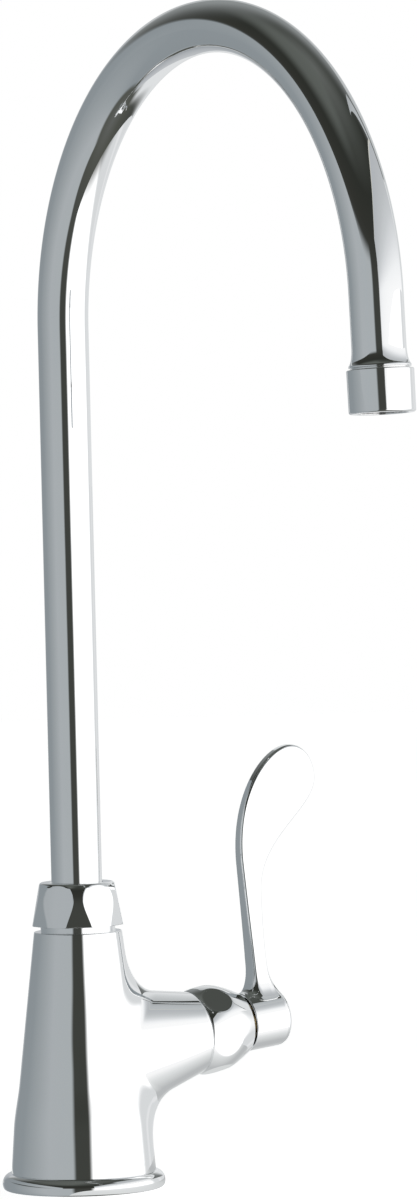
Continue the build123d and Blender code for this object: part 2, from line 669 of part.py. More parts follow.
def valve_stem():
    """The turning stem: drive head with its stop lug and tongue, sealed shaft and splined end."""
    stem = rod(DISC_RADIUS, STEM_HEAD_BASE, STEM_HEAD_TOP)
    stem += rod(STEM_RADIUS, STEM_HEAD_TOP, SPLINE_BASE)
    stem += sector(STEM_RADIUS, DISC_RADIUS + STEM_LUG_REACH, STEM_HEAD_BASE, STEM_HEAD_TOP,
                   LUG_ANGLE, STEM_LUG_WIDTH)
    tongue = Box(TONGUE_WIDTH, TONGUE_LENGTH, TONGUE_DEPTH, align=(Align.CENTER, Align.CENTER, Align.MAX))
    stem += Pos(0, 0, STEM_HEAD_BASE) * tongue
    stem += extrude(Pos(0, 0, SPLINE_BASE) * splines(0), SPLINE_LENGTH)
    for place in stem_seal_places():
        stem -= groove(STEM_BORE_RADIUS, STEM_O_RING_SECTION, place)
    stem -= ring(STEM_RADIUS - CLIP_DEPTH, STEM_RADIUS + OVERCUT, CLIP_BASE - SEATING,
                 CLIP_BASE + CLIP_THICKNESS + SEATING)
    stem -= rod(SCREW_RADIUS + SEATING, SCREW_END - OVERCUT, STEM_END)
    return ARM * stem


def stem_o_rings():
    rings = [seal(STEM_BORE_RADIUS, STEM_O_RING_SECTION, place) for place in stem_seal_places()]
    return ARM * Compound(rings)


def stem_clip():
    """The spring clip that keeps the stem in its guide."""
    clip = ring(STEM_RADIUS - CLIP_DEPTH + SEATING, CLIP_RADIUS, CLIP_BASE, CLIP_BASE + CLIP_THICKNESS)
    mouth = Box(2 * CLIP_RADIUS, CLIP_MOUTH, 4 * CLIP_THICKNESS)
    return ARM * (clip - Pos(CLIP_RADIUS, 0, CLIP_BASE) * mouth)


def blade_outline():
    """The blade's broad face: along the hub (s) and up from its axis (u)."""
    left = HUB_BASE + NECK_OFFSET
    right = left + NECK_WIDTH
    reach = HUB_BASE + BLADE_REACH
    top = (left + BLADE_TOP_OFFSET, BLADE_HEIGHT)
    foot = (right, BLADE_NECK_HEIGHT - NECK_CURVE_DROP)
    neck = (left, BLADE_NECK_HEIGHT)
    shoulder = (reach, BLADE_SHOULDER_HEIGHT)
    edges = [
        Line((left, 0), neck),
        Bezier(neck, (left, neck[1] + LEFT_HANDLE), (top[0] - TOP_HANDLE_LEFT, top[1]), top),
        Bezier(top, (top[0] + TOP_HANDLE_RIGHT, top[1]), (reach, shoulder[1] + TIP_HANDLE), shoulder),
        Bezier(shoulder, (reach, shoulder[1] - PADDLE_HANDLE), (right, foot[1] + NECK_HANDLE), foot),
        Polyline(foot, (right, 0), (left, 0)),
    ]
    return make_face(Wire([e for part in edges for e in part.edges()]))


def blade_side():
    """The blade's side view: thick at the root, thinning to the tip."""
    root, mid, tip = BLADE_ROOT_THICKNESS / 2, BLADE_THICKNESS / 2, BLADE_TIP_THICKNESS / 2
    over = BLADE_HEIGHT + OVERCUT
    slopes = 2 * [(1, -BLADE_TAPER_SLOPE)]
    taper = Spline((BLADE_STRAIGHT_HEIGHT, root), (BLADE_TAPER_HEIGHT, mid), (over, tip), tangents=slopes)
    front = [*Line((0, root), (BLADE_STRAIGHT_HEIGHT, root)).edges(), *taper.edges()]
    close = Polyline(taper @ 1, (over, 0), (0, 0), (0, root)).edges()
    half = make_face(Wire([*front, *close]))
    return half + half.mirror(Plane.XZ)


def lever():
    """The wrist-blade lever: a hub on the stem's splines and a flat blade that rises from it."""
    broad = Plane(origin=(0, 0, 0), x_dir=(0, 0, 1), z_dir=(0, 1, 0))
    blade = extrude(broad * blade_outline(), BLADE_ROOT_THICKNESS, both=True)
    blade &= Pos(0, 0, HUB_BASE - OVERCUT) * extrude(blade_side(), BLADE_REACH + HUB_LENGTH)
    rims = [e for e in blade.edges() if e.bounding_box().max.X > HUB_RADIUS + OVERCUT]
    blade = fillet(ShapeList(rims), BLADE_EDGE)
    hub = rod(HUB_RADIUS, HUB_BASE, HUB_END)
    hub = fillet(hub.edges().group_by(Axis.Z)[-1], HUB_ROUNDING)
    hub = fillet(hub.edges().group_by(Axis.Z)[0], HUB_INNER_EDGE)
    whole = hub + blade
    whole = fillet(new_edges(hub, blade, combined=whole), BLADE_BLEND)
    whole -= extrude(Pos(0, 0, HUB_BASE) * splines(SEATING), STEM_END + FREE_GAP - HUB_BASE)
    whole -= rod(SCREW_RADIUS + FREE_GAP / 2, HUB_BASE, HUB_END)
    whole -= rod(SCREW_HEAD_RADIUS + FREE_GAP, SCREW_SEAT, HUB_END)
    whole -= rod(CAP_RADIUS + SEATING, HUB_END - CAP_THICKNESS, HUB_END)
    return ARM * whole


def lever_screw():
    """The socket screw that holds the lever on the stem."""
    screw = rod(SCREW_RADIUS, SCREW_END, SCREW_SEAT)
    screw += rod(SCREW_HEAD_RADIUS, SCREW_SEAT, SCREW_SEAT + SCREW_HEAD_HEIGHT)
    hexagon = RegularPolygon(SCREW_HEX / 2, 6, major_radius=False)
    socket = extrude(Pos(0, 0, SCREW_SEAT + SCREW_HEAD_HEIGHT) * hexagon, -SCREW_SOCKET_DEPTH)
    return ARM * (screw - socket)


def index_cap():
    """The plain cap that closes the hub's end."""
    cap = rod(CAP_RADIUS, HUB_END - CAP_THICKNESS, HUB_END)
    return ARM * fillet(cap.edges().group_by(Axis.Z)[-1], CAP_ROUNDING)


PIECES = [
    faucet_body, base_ring, base_gasket, spout_nut, spout_slip_ring, valve_bonnet, cartridge_body,
    cartridge_o_ring, seat_seal, fixed_disc, thrust_washer, spout_tube, spout_sleeve, spout_o_rings,
    outlet_adapter, aerator_shell, aerator_washer, flow_restrictor, aerator_insert, aerator_screen,
    lever, lever_screw, index_cap, valve_stem, stem_o_rings, moving_disc, stem_clip,
]

if __name__ == "__main__":
    os.makedirs("parts", exist_ok=True)
    for piece in PIECES:
        export_step(piece(), f"parts/{piece.__name__}.step")
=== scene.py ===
import json
from math import cos, pi, radians, sin

import bpy
import numpy as np
from mathutils import Matrix, Vector


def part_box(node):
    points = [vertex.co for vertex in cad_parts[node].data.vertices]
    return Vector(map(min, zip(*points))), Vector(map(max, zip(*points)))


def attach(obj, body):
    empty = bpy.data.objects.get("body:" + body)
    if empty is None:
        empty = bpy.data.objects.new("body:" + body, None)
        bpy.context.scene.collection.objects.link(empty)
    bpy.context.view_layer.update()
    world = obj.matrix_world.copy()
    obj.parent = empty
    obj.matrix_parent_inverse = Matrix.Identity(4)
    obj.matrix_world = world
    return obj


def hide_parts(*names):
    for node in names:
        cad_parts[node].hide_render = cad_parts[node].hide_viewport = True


# A single-lever gooseneck faucet in polished chrome.
# Sizes are in millimetres and angles in degrees. Meshes are made in metres.
MM = 0.001

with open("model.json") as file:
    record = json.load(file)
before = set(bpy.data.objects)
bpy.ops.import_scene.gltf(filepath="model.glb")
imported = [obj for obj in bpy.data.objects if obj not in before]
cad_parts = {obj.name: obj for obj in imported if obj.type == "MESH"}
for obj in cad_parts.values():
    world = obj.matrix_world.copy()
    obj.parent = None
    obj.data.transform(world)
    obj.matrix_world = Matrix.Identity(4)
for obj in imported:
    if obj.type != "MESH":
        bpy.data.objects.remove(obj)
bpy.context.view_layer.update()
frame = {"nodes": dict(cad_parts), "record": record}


def extent(node):
    """The lowest and highest corners of a CAD node, in millimetres."""
    return [np.array(corner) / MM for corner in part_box(node)]


# Camera, fitted to the photograph's frame of 417 by 1200 pixels
FRAME_HEIGHT = 1200
FOCAL_PIXELS = 5975.86
SENSOR_HEIGHT = 36.0
CAMERA_PLACE = (-1143.7, -1922.4, 273.6)
CAMERA_AZIMUTH = 32.08
CAMERA_PITCH = -1.396
CAMERA_ROLL = -1.391

# Floor of the picture
FLOOR_RADIUS = 4.0
FLOOR_CORNERS = 96
FLOOR_GREY = 0.9
FLOOR_GLOW = 0.86

# Far studio, by direction. Azimuths run from the camera's side of the object, positive to its right.
# A span is (from, to, softness) and an edge is (place, softness), in degrees. A slant is the elevation below
# which an edge leans, and by how much. Shades are red, green and blue from 0 to 255.
STUDIO_TURN = -32.08
# The dark room, from straight down at 0 to straight up at 1
ROOM_SHADES = (
    (0.0, (96, 98, 95)), (0.13, (80, 82, 76)), (0.25, (72, 74, 70)), (0.55, (62, 64, 60)),
    (0.64, (50, 51, 47)), (0.72, (46, 48, 44)), (0.82, (64, 67, 63)), (1.0, (98, 101, 98)),
)
CEILING_AZIMUTHS = (-140, -10, 50)
CEILING_EDGE = (52, 24)
CEILING_SHARE = 0.8
CEILING_SHADE = (95, 99, 95)
# A haze and a pale wall behind the object: edge round from the camera's side, elevations and shade
HAZE_BEHIND = ((140, 60), (8, 52, 36), (140, 144, 144))
WALL_BEHIND = ((158, 16), (-62, 20, 14), (226, 228, 229))
# The grey board on the left, from azimuth -180 at 0 to the camera's side at 1
LEFT_SHADES = (
    (0.0, (192, 195, 198)), (0.09, (172, 176, 180)), (0.15, (139, 146, 150)), (0.35, (141, 148, 152)),
    (0.52, (156, 162, 165)), (0.68, (171, 176, 179)), (1.0, (170, 176, 178)),
)
LEFT_EDGE = (-14, 7)
LEFT_ELEVATIONS = (-68, 17, 7)
LEFT_SLANT = (-38.0, 0.45)
# The white panel on the right, whose rise is a height over the distance to its plane
PANEL_MIDDLE = 77.0
PANEL_AZIMUTHS = (14, 165, 8)
PANEL_RISE = (-2.2, 0.64, 0.04)
PANEL_FOOT = (-60, 26)
PANEL_SLANT = (-10.0, 0.55)
PANEL_END = (118, 10)
PANEL_END_SHADE = (218, 220, 221)
PANEL_LINE = (135, 143, 4)
PANEL_LINE_SHADE = (230, 231, 232)
LEAST_COSINE = 0.02
LEAST_LEVEL = 0.001
BRIGHT_LIGHT = 1.25
BRIGHT_END = (116, 10)
BRIGHT_TOP = (0.42, 0.16)

# Near studio, in metres. A board is seen by rays between two lengths, so that low pieces see what high ones
# don't, and its shades change along one axis.
X, Y, Z = 0, 1, 2
ANY_SIGHT = (0.0, 9.0)
LOW_SIGHT = (0.88, 9.0)
# Name, azimuth, distance, reach to either side, heights of the two edges, sight, axis and shades
BOARDS = (
    ("back_board", 158.0, 0.50, (-0.322, 0.283), (0.26, 0.75), ANY_SIGHT, Z, (
        (0.26, (224, 226, 227)), (0.34, (222, 224, 225)), (0.45, (206, 209, 210)), (0.60, (190, 193, 194)),
        (0.75, (180, 183, 184)))),
    ("left_board", -90.0, 0.80, (-1.386, 1.386), (0.33, 0.70), ANY_SIGHT, X, (
        (-1.414, (170, 176, 179)), (-0.943, (171, 176, 179)), (-0.708, (156, 162, 165)),
        (-0.461, (141, 148, 152)), (0.058, (139, 146, 150)))),
    ("right_board", 77.0, 0.60, (-1.07, 0.66), (0.38, 0.80), ANY_SIGHT, Z, (
        (0.38, (255, 255, 255)), (0.43, (246, 247, 248)), (0.495, (220, 222, 224)), (0.55, (203, 206, 208)),
        (0.62, (191, 194, 196)), (0.70, (184, 187, 190)), (0.78, (180, 184, 188)), (0.788, (203, 203, 196)),
        (0.80, (203, 203, 196)))),
    ("high_board", 77.0, 0.60, (-0.10, 0.66), (0.80, 1.12), LOW_SIGHT, Z, (
        (0.80, (186, 190, 192)), (0.95, (182, 186, 188)), (1.12, (170, 174, 176)))),
)
# The table under the arm: a card whose glow has the arm's shadow painted into it, seen only from close by
TABLE_REACH = ((-0.02, 0.20), (-0.07, 0.09))
TABLE_LIFT = 0.0005
TABLE_SIGHT = (0.0, 0.12)
# Painted shadow of the arm on the table: grey beneath the arm, white in front of it, by metres along y
TABLE_SHADOW_SHADES = (
    (-0.07, (255, 255, 255)), (-0.055, (252, 252, 252)), (-0.035, (226, 228, 228)),
    (-0.015, (204, 206, 206)), (0.0, (186, 188, 189)), (0.02, (186, 188, 189)), (0.05, (205, 207, 207)),
    (0.09, (222, 224, 224)),
)

# Fineness of the surfaces
HOLD = 0.06
CORNER_STEPS = 6
ROUND_STEPS = 192
NUT_STEPS = 540
TUBE_STEPS = 96
BEAD_STEPS = 20
DOME_STEPS = 14
SECTION_STEPS = (13, 8, 5)
SOLVE_STEPS = 36
WELD_DECIMALS = 5
NUDGE = 0.01
TURN_NUDGE = 0.0005

# Roundings of small edges, and the clearance of seats
SOFT_EDGE = 0.3
BORE_EDGE = 0.2
SEAM_EDGE = 0.1
SEATING = 0.02

# Base ring
RING_RADIUS = extent("base_ring")[1][0]
RING_HEIGHT = extent("base_ring")[1][2]
RING_WIDEST = 2.3
RING_TUCK = 1.0
RING_BORE = 24.5
RING_LIP = 27.9
GASKET_TOP = extent("base_gasket")[1][2]

# Body casting: two straight cones joined by a smooth waist
FOOT_RADIUS = extent("faucet_body")[1][1]
BELLY_RADIUS = 25.8
BELLY_HEIGHT = 23.0
WAIST_RADIUS = 23.3
WAIST_HEIGHT = 39.5
SHOULDER_RADIUS = 16.5
BOSS_RADIUS = 14.0
BOSS_HEIGHT = 10.0
BOSS_TOP = extent("faucet_body")[1][2]
SHOULDER_HEIGHT = BOSS_TOP - BOSS_HEIGHT
SHOULDER_ROUNDING = 0.4
CONE_STEP = 0.8
CONE_MARGIN = 1.0
SPIGOT_RADIUS = 24.48
PILOT_RADIUS = 12.3
INLET_RADIUS = 9.3
INLET_DEPTH = 20.0
SPOUT_BORE = 12.0
SPOUT_BORE_DEPTH = 24.0

# Valve arm: its axis leaves the body's axis at this height and climbs
ARM_HEIGHT = 49.7
ARM_CLIMB = 5.6
ARM_LENGTH = 49.4
ARM_END_RADIUS = 15.65
ARM_ROOT_UP = 27.78
ARM_ROOT_SIDE = 20.84
ARM_ROOT_DROP = 2.0
ARM_EDGE = 0.3
ARM_ROWS = 30
ARM_BOSS_RADIUS = 12.6
ARM_BOSS_LENGTH = 5.6
VALVE_BORE = 10.0
VALVE_SEAT = 18.0
# The skin between cone and arm leaves the cone on an oval between two heights, so many degrees to each side.
# It meets the arm at these distances along it: above, beside and below.
SKIN_TOP = 92.6
SKIN_LOW = 11.0
SKIN_SPREAD = 74.0
SKIN_ON_ARM = (34.2, 14.0, 37.5)
SKIN_ROWS = 28
# The window that the skin fills, cut from the cone's grid. Rows from its rim to the oval crowd to the rim.
WINDOW_HALF_ANGLE = 95.0
WINDOW_LOW = 9.0
WINDOW_HIGH = 94.6
WINDOW_ROWS = 16
WINDOW_CROWDING = 0.8

# Gooseneck tube, its flare and the aerator
TUBE_RADIUS = 19.05 / 2
TUBE_BORE = 8.525
BEND_RADIUS = 105.6
BEND_ANGLE = 176.8
BEND_ROWS = 150
SPRING_LINE = extent("spout_tube")[1][2] - TUBE_RADIUS - BEND_RADIUS
TUBE_BASE = 86.85
RISER_ROWS = 40
FLARE_DROP = 17.8
FLARE_LENGTH = 7.5
FLARE_RADIUS = extent("spout_tube")[1][0]
FLARE_RIM = 0.8
FLARE_HANDLE = 4.0
FLARE_LIP_HANDLE = 0.7
FLARE_EDGE = 0.25
SHELL_GAP = 0.6
SHELL_RADIUS = extent("aerator_shell")[1][0]
SHELL_END_RADIUS = 11.65
SHELL_LENGTH = 15.2
SHELL_EDGE = 0.9
SHELL_TOP_EDGE = 0.35
SHELL_BORE = 10.22
SHELL_LIP = 1.3
SHELL_MOUTH = 9.0

# Spout nut: its side runs through foot, waist and shoulder, given by height above its base and radius. Its
# flats lean in from a distance at the base to one at the top.
NUT_BASE, NUT_TOP = extent("spout_nut")[0][2], extent("spout_nut")[1][2]
NUT_RADIUS = 16.58
NUT_WAIST = ((6.1, 16.42), (11.3, 15.80))
NUT_SHOULDER_RADIUS = 14.35
NUT_ROUNDING = 1.0
NUT_TOP_RADIUS = 12.9
NUT_SIDE_HANDLE = 0.8
NUT_TOP_HANDLE = 0.3
NUT_FOOT_HEIGHT = 0.5
NUT_FOOT_EDGE = 0.4
NUT_FOOT_TUCK = 0.04
NUT_ROWS = 44
NUT_FLATS = (17.05, 14.0)
NUT_FLAT_FADE = 0.6
NUT_TURN = 31.0
NUT_CREST = 0.2
NUT_CROWN = 0.88
NUT_CORNER_REACH = 0.3
NUT_HOLE = 9.83
COLLAR_SPACE = 13.6
SLIP_RING_TOP = extent("spout_slip_ring")[1][2]

# Valve bonnet: its side runs through these places, given by distance from the arm's end and radius
BONNET_LENGTH = 21.2
BONNET_BELLY = ((4.5, 17.0), (9.0, 16.85))
BONNET_SHOULDER = (15.6, 14.65)
BONNET_END = (20.8, 12.1)
BONNET_START = 0.5
BONNET_ROWS = 52
BONNET_END_HANDLE = (-0.25, 0.28)
BONNET_FACE_HANDLE = 0.5
BONNET_FACE_RADIUS = 11.1
BONNET_FLAT = 15.88
BONNET_TURN = 40.0
BONNET_HOLE = 8.02
FLANGE_THICKNESS = 3.0

# Lever's hub and its cap
HUB_BASE = ARM_LENGTH + BONNET_LENGTH + 1.5
HUB_RADIUS = extent("lever")[1][1]
HUB_LENGTH = 16.7
HUB_END = HUB_BASE + HUB_LENGTH
HUB_ROUNDING = 3.0
HUB_INNER_EDGE = 0.5
HUB_BORE = 4.3
CAP_RADIUS = 6.5
CAP_THICKNESS = 1.4
CAP_EDGE = 0.4
CAP_RIM_EDGE = 0.32
CAP_DOME = 0.15

# Wrist blade: places of its edges by distance along the hub and height, and half its thickness by height
BLADE_EDGE = 1.2
BLADE_SIDES = ((12.0, 4.0), (25.0, 3.5), (68.0, 2.5), (102.3, 2.2))
BLADE_LEFT = (78.2, 60.0)
BLADE_TOP = (105.1, 102.3)
BLADE_SHOULDER = (115.6, 89.5)
BLADE_NECK = (85.6, 48.0)
BLADE_RIGHT_ROOT = (84.2, 20.0)
BLADE_ROOT_LEAN = 0.1
BLADE_ROWS = 110
BLADE_CROWDING = 1.5
LEFT_HANDLE = 26.5
TOP_HANDLE_LEFT = 10.5
TOP_HANDLE_RIGHT = 6.3
TIP_HANDLE = 7.0
PADDLE_HANDLE = 13.5
NECK_HANDLE_UP = (1.65, 22.0)
NECK_HANDLE_DOWN = (-0.6, -8.0)
ROOT_HANDLE = 14.0
# The section's faces stop at this share of its width, and its sides at this share of its thickness
FACE_MARGIN = 0.97
SECTION_MARGIN = 0.9
# The hollow at the root: how far it spreads on the hub along the front and along the hub, and its height
ROOT_SPREAD = (4.5, 4.3)
ROOT_TOP = 22.0
ROOT_ROWS = 24
STRAIGHT_TOP = 25.0
STRAIGHT_ROWS = 4
ROOT_SINK = 0.6
ROOT_SINK_SHARE = 0.97
ROOT_MIDDLE = (8.0, 0.0, 81.0)

# Chrome where it is clean and where it is hazed
CHROME = (0.95, 0.955, 0.96), (0.93, 0.938, 0.946)


# Meshes

def weld(points, faces):
    """Points that coincide become one, and faces that lose a corner become triangles or go."""
    keys = np.round(points, WELD_DECIMALS)
    _, first, same = np.unique(keys, axis=0, return_index=True, return_inverse=True)
    faces = same.reshape(-1)[faces]
    following = np.roll(faces, -1, axis=1)
    lost = faces == following
    quads = faces[~lost.any(axis=1)]
    triangles = [np.delete(faces[lost[:, k] & (lost.sum(axis=1) == 1)], k, axis=1) for k in range(4)]
    return points[first], quads, np.concatenate(triangles)


def outward(points, quads, triangles):
    """The faces turned about where the volume that they enclose comes out negative."""
    halves = np.concatenate([quads[:, [0, 1, 2]], quads[:, [0, 2, 3]], triangles])
    a, b, c = (points[halves[:, k]] for k in range(3))
    if np.einsum("ij,ij->", a, np.cross(b, c)) < 0:
        return quads[:, ::-1], triangles[:, ::-1]
    return quads, triangles


def grid_faces(rows, columns, ring=False):
    """Faces between neighbours of a grid. Its columns close on themselves, and in a ring its rows do too."""
    i, j = np.meshgrid(np.arange(rows if ring else rows - 1), np.arange(columns), indexing="ij")
    row, next_row, next_column = i * columns, (i + 1) % rows * columns, (j + 1) % columns
    return joined(row + j, row + next_column, next_row + next_column, next_row + j).reshape(-1, 4)


def piece(name, stands_for, body, look, surfaces):
    """A mesh piece from closed surfaces, each given as points in millimetres and faces."""
    points, faces, count = [], [], 0
    for shape, corners in surfaces:
        shape, quads, triangles = weld(shape.reshape(-1, 3), corners)
        quads, triangles = outward(shape, quads, triangles)
        faces += (quads + count).tolist() + (triangles + count).tolist()
        points.append(shape)
        count += len(shape)
    mesh = bpy.data.meshes.new(name)
    mesh.from_pydata((np.concatenate(points) * MM).tolist(), [], faces)
    mesh.shade_smooth()
    mesh.materials.append(look)
    made = bpy.data.objects.new(name, mesh)
    bpy.context.scene.collection.objects.link(made)
    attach(made, body)
    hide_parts(stands_for)


# Outlines

def unit(vectors):
    return vectors / np.linalg.norm(vectors, axis=-1, keepdims=True)


def joined(*parts):
    """Places from their coordinates, each spread to the shape that all of them share."""
    return np.stack(np.broadcast_arrays(*parts), axis=-1)


def rounded(*corners):
    """A closed outline through (radius, place, rounding) corners: an arc in each, and just outside its ends
    two points that keep straight runs straight. Where the rounding is None, it passes through the place."""
    places = np.array([corner[:2] for corner in corners], float)
    run = []
    for k, (*_, radius) in enumerate(corners):
        here = places[k]
        if radius is None:
            run.append(here[None])
            continue
        to_last = unit(places[k - 1] - here)
        to_next = unit(places[(k + 1) % len(places)] - here)
        half = np.arccos(np.clip(to_last @ to_next, -1, 1)) / 2
        middle = here + unit(to_last + to_next) * radius / sin(half)
        reach = radius * cos(half) / sin(half)
        arc = here[None]
        if radius > 0:
            share = np.linspace(0, 1, CORNER_STEPS + 1)[:, None]
            start, end = here + to_last * reach - middle, here + to_next * reach - middle
            turn = pi - 2 * half
            arc = middle + (np.sin((1 - share) * turn) * start + np.sin(share * turn) * end) / sin(turn)
        run += [here[None] + to_last * (reach + HOLD), arc, here[None] + to_next * (reach + HOLD)]
    return np.concatenate(run)


def cubic(t, start, first, second, end):
    """Places on a cubic curve: ends and handles weighted by (1-t)^3, 3t(1-t)^2, 3t^2(1-t) and t^3."""
    return (1 - t) ** 3 * start + 3 * t * (1 - t) ** 2 * first + 3 * t ** 2 * (1 - t) * second + t ** 3 * end


def bezier(*handles, steps=16):
    """Points of the cubic curve from the first to the last of four handles."""
    return cubic(np.linspace(0, 1, steps)[:, None], *np.array(handles, float))


def passing(points):
    """Outline points that the line simply passes through."""
    return [(*point, None) for point in points]


def through(places, heights):
    """The radius at each height of the lowest-order smooth curve through (height, radius) places."""
    places = np.array(places, float)
    return np.polyval(np.polyfit(places[:, 0], places[:, 1], len(places) - 1), heights)


def carry_round(radius, place, angle):
    """Points carried round an axis: x = r cos a, y = r sin a, and the place along it."""
    return joined(radius * np.cos(angle), radius * np.sin(angle), place)


def turned(outline, steps=ROUND_STEPS):
    """The surface of a closed (radius, place) outline carried round the axis."""
    angle = np.linspace(0, 2 * pi, steps, endpoint=False)
    return carry_round(outline[:, :1], outline[:, 1:], angle), grid_faces(len(outline), steps, ring=True)


def soft_least(first, second, width):
    """The lesser of two values, with the change from one to the other rounded over a width."""
    near = np.clip(width - np.abs(first - second), 0, None) / width
    return np.minimum(first, second) - near ** 2 * width / 4


def six_flats(outline, flat_at, turn, corner=0.0, crown=1.0):
    """A turned outline cut by six flats. At an angle a from the nearest flat the radius is the lesser of the
    outline's and flat / cos(crown a), where flat_at gives the flat's distance by the place on the axis. A
    corner share of 1 divides the outline by the cosine of the angle to the nearest corner, which flattens
    the corners too."""
    angle = np.linspace(0, 2 * pi, NUT_STEPS, endpoint=False)
    sixth = pi / 3
    from_flat = (angle - radians(turn) + sixth / 2) % sixth - sixth / 2
    from_corner = np.minimum(sixth / 2 - np.abs(from_flat), NUT_CORNER_REACH)
    radius, place = outline[:, :1], outline[:, 1:]
    flat = flat_at(place) / np.cos(crown * from_flat)
    round_off = 1 + corner * (1 / np.cos(from_corner) - 1)
    shape = carry_round(soft_least(radius * round_off, flat, NUT_CREST), place, angle)
    return shape, grid_faces(len(outline), NUT_STEPS, ring=True)


# Planes

def on_arm(shape):
    """Places given as (up, front, along) from the arm's axis, in the part's frame."""
    up = np.array([-sin(radians(ARM_CLIMB)), 0, cos(radians(ARM_CLIMB))])
    along = np.array([cos(radians(ARM_CLIMB)), 0, sin(radians(ARM_CLIMB))])
    front = np.array([0.0, -1.0, 0.0])
    return (0, 0, ARM_HEIGHT) + shape[..., :1] * up + shape[..., 1:2] * front + shape[..., 2:] * along


def on_outlet(shape):
    """Places given about the tube's end, their last number along the flow, in the part's frame."""
    turn = radians(BEND_ANGLE)
    start = np.array([0, BEND_RADIUS * (cos(turn) - 1), SPRING_LINE + BEND_RADIUS * sin(turn)])
    flow = np.array([0, -sin(turn), cos(turn)])
    side = np.array([0, cos(turn), sin(turn)])
    return start + shape[..., :1] * (1, 0, 0) + shape[..., 1:2] * side + shape[..., 2:] * flow


def placed(put, surface):
    """A surface whose points are put in their place."""
    shape, faces = surface
    return put(shape), faces


# Colours


def shade(*parts):
    """A display colour, 0 to 255 in each part, as the light that shows it."""
    light = [((part / 255 + 0.055) / 1.055) ** 2.4 if part > 10 else part / 255 / 12.92 for part in parts]
    return (*light, 1.0)


# Nodes

def add(tree, kind, inputs=None, **settings):
    """A new shader node with its settings, and its inputs linked or set."""
    node = tree.nodes.new("ShaderNode" + kind)
    for key, value in settings.items():
        setattr(node, key, value)
    for key, value in (inputs or {}).items():
        if isinstance(value, bpy.types.NodeSocket):
            tree.links.new(value, node.inputs[key])
        else:
            node.inputs[key].default_value = value
    return node


def maths(tree, operation, *values):
    return add(tree, "Math", dict(enumerate(values)), operation=operation).outputs[0]


def mix(tree, share, first, second):
    """Two colours mixed by a share."""
    inputs = {0: share, 6: first, 7: second}
    return add(tree, "Mix", inputs, data_type="RGBA", clamp_factor=True).outputs[2]


def ramp(tree, value, *stops):
    """A colour that changes evenly with a value from 0 to 1, by (place, shade) stops."""
    node = add(tree, "ValToRGB", {0: value})
    elements = node.color_ramp.elements
    elements[0].position, elements[0].color = stops[0][0], shade(*stops[0][1])
    elements[1].position, elements[1].color = stops[-1][0], shade(*stops[-1][1])
    for place, parts in stops[1:-1]:
        elements.new(place).color = shade(*parts)
    return node.outputs[0]


def edge(tree, value, place, softness):
    """0 below a place and 1 above it, with a smooth change of the given width."""
    inputs = {0: value, 1: place - softness / 2, 2: place + softness / 2}
    return add(tree, "MapRange", inputs, interpolation_type="SMOOTHSTEP").outputs[0]


def below(tree, value, place, softness):
    """1 below a place and 0 above it."""
    return maths(tree, "SUBTRACT", 1.0, edge(tree, value, place, softness))


def band(tree, value, low, high, softness):
    """1 between two places and 0 outside them."""
    return maths(tree, "SUBTRACT", edge(tree, value, low, softness), edge(tree, value, high, softness))


def every(tree, *masks):
    """The share that all masks have in common."""
    share = masks[0]
    for mask in masks[1:]:
        share = maths(tree, "MULTIPLY", share, mask)
    return share


# Studio

def studio_angles(tree):
    """The azimuth and elevation of a direction, in degrees, and its height over its level distance."""
    direction = add(tree, "TexCoord").outputs["Generated"]
    parts = add(tree, "SeparateXYZ", {0: direction}).outputs
    bearing = maths(tree, "ARCTAN2", parts[0], maths(tree, "MULTIPLY", parts[1], -1.0))
    azimuth = maths(tree, "SUBTRACT", maths(tree, "DEGREES", bearing), STUDIO_TURN)
    azimuth = maths(tree, "WRAP", azimuth, 180.0, -180.0)
    elevation = maths(tree, "DEGREES", maths(tree, "ARCSINE", parts[2]))
    level = maths(tree, "SQRT", maths(tree, "SUBTRACT", 1.0, maths(tree, "MULTIPLY", parts[2], parts[2])))
    climb = maths(tree, "DIVIDE", parts[2], maths(tree, "MAXIMUM", level, LEAST_LEVEL))
    return azimuth, elevation, climb


def slanted(tree, azimuth, elevation, corner, lean):
    """An azimuth that gains the lean for each degree that the elevation lies below the corner."""
    under = maths(tree, "MINIMUM", maths(tree, "SUBTRACT", elevation, corner), 0.0)
    return maths(tree, "SUBTRACT", azimuth, maths(tree, "MULTIPLY", under, lean))


def dark_room(tree, azimuth, elevation):
    """The unlit room, with a paler ceiling on the left, and a haze and a pale wall behind the object."""
    height = maths(tree, "DIVIDE", maths(tree, "ADD", elevation, 90.0), 180.0)
    light = ramp(tree, height, *ROOM_SHADES)
    ceiling = every(tree, band(tree, azimuth, *CEILING_AZIMUTHS), edge(tree, elevation, *CEILING_EDGE))
    light = mix(tree, maths(tree, "MULTIPLY", ceiling, CEILING_SHARE), light, shade(*CEILING_SHADE))
    behind = maths(tree, "ABSOLUTE", azimuth)
    for back_edge, elevations, parts in (HAZE_BEHIND, WALL_BEHIND):
        part = every(tree, edge(tree, behind, *back_edge), band(tree, elevation, *elevations))
        light = mix(tree, part, light, shade(*parts))
    return light


def grey_board(tree, azimuth, elevation, light):
    """The light with the grey board on the left over it."""
    along = maths(tree, "DIVIDE", maths(tree, "ADD", azimuth, 180.0), 180.0)
    board = ramp(tree, along, *LEFT_SHADES)
    side = slanted(tree, azimuth, elevation, *LEFT_SLANT)
    on_board = every(
        tree, below(tree, side, *LEFT_EDGE), band(tree, elevation, *LEFT_ELEVATIONS),
        maths(tree, "LESS_THAN", azimuth, 0.0))
    return mix(tree, on_board, light, board)


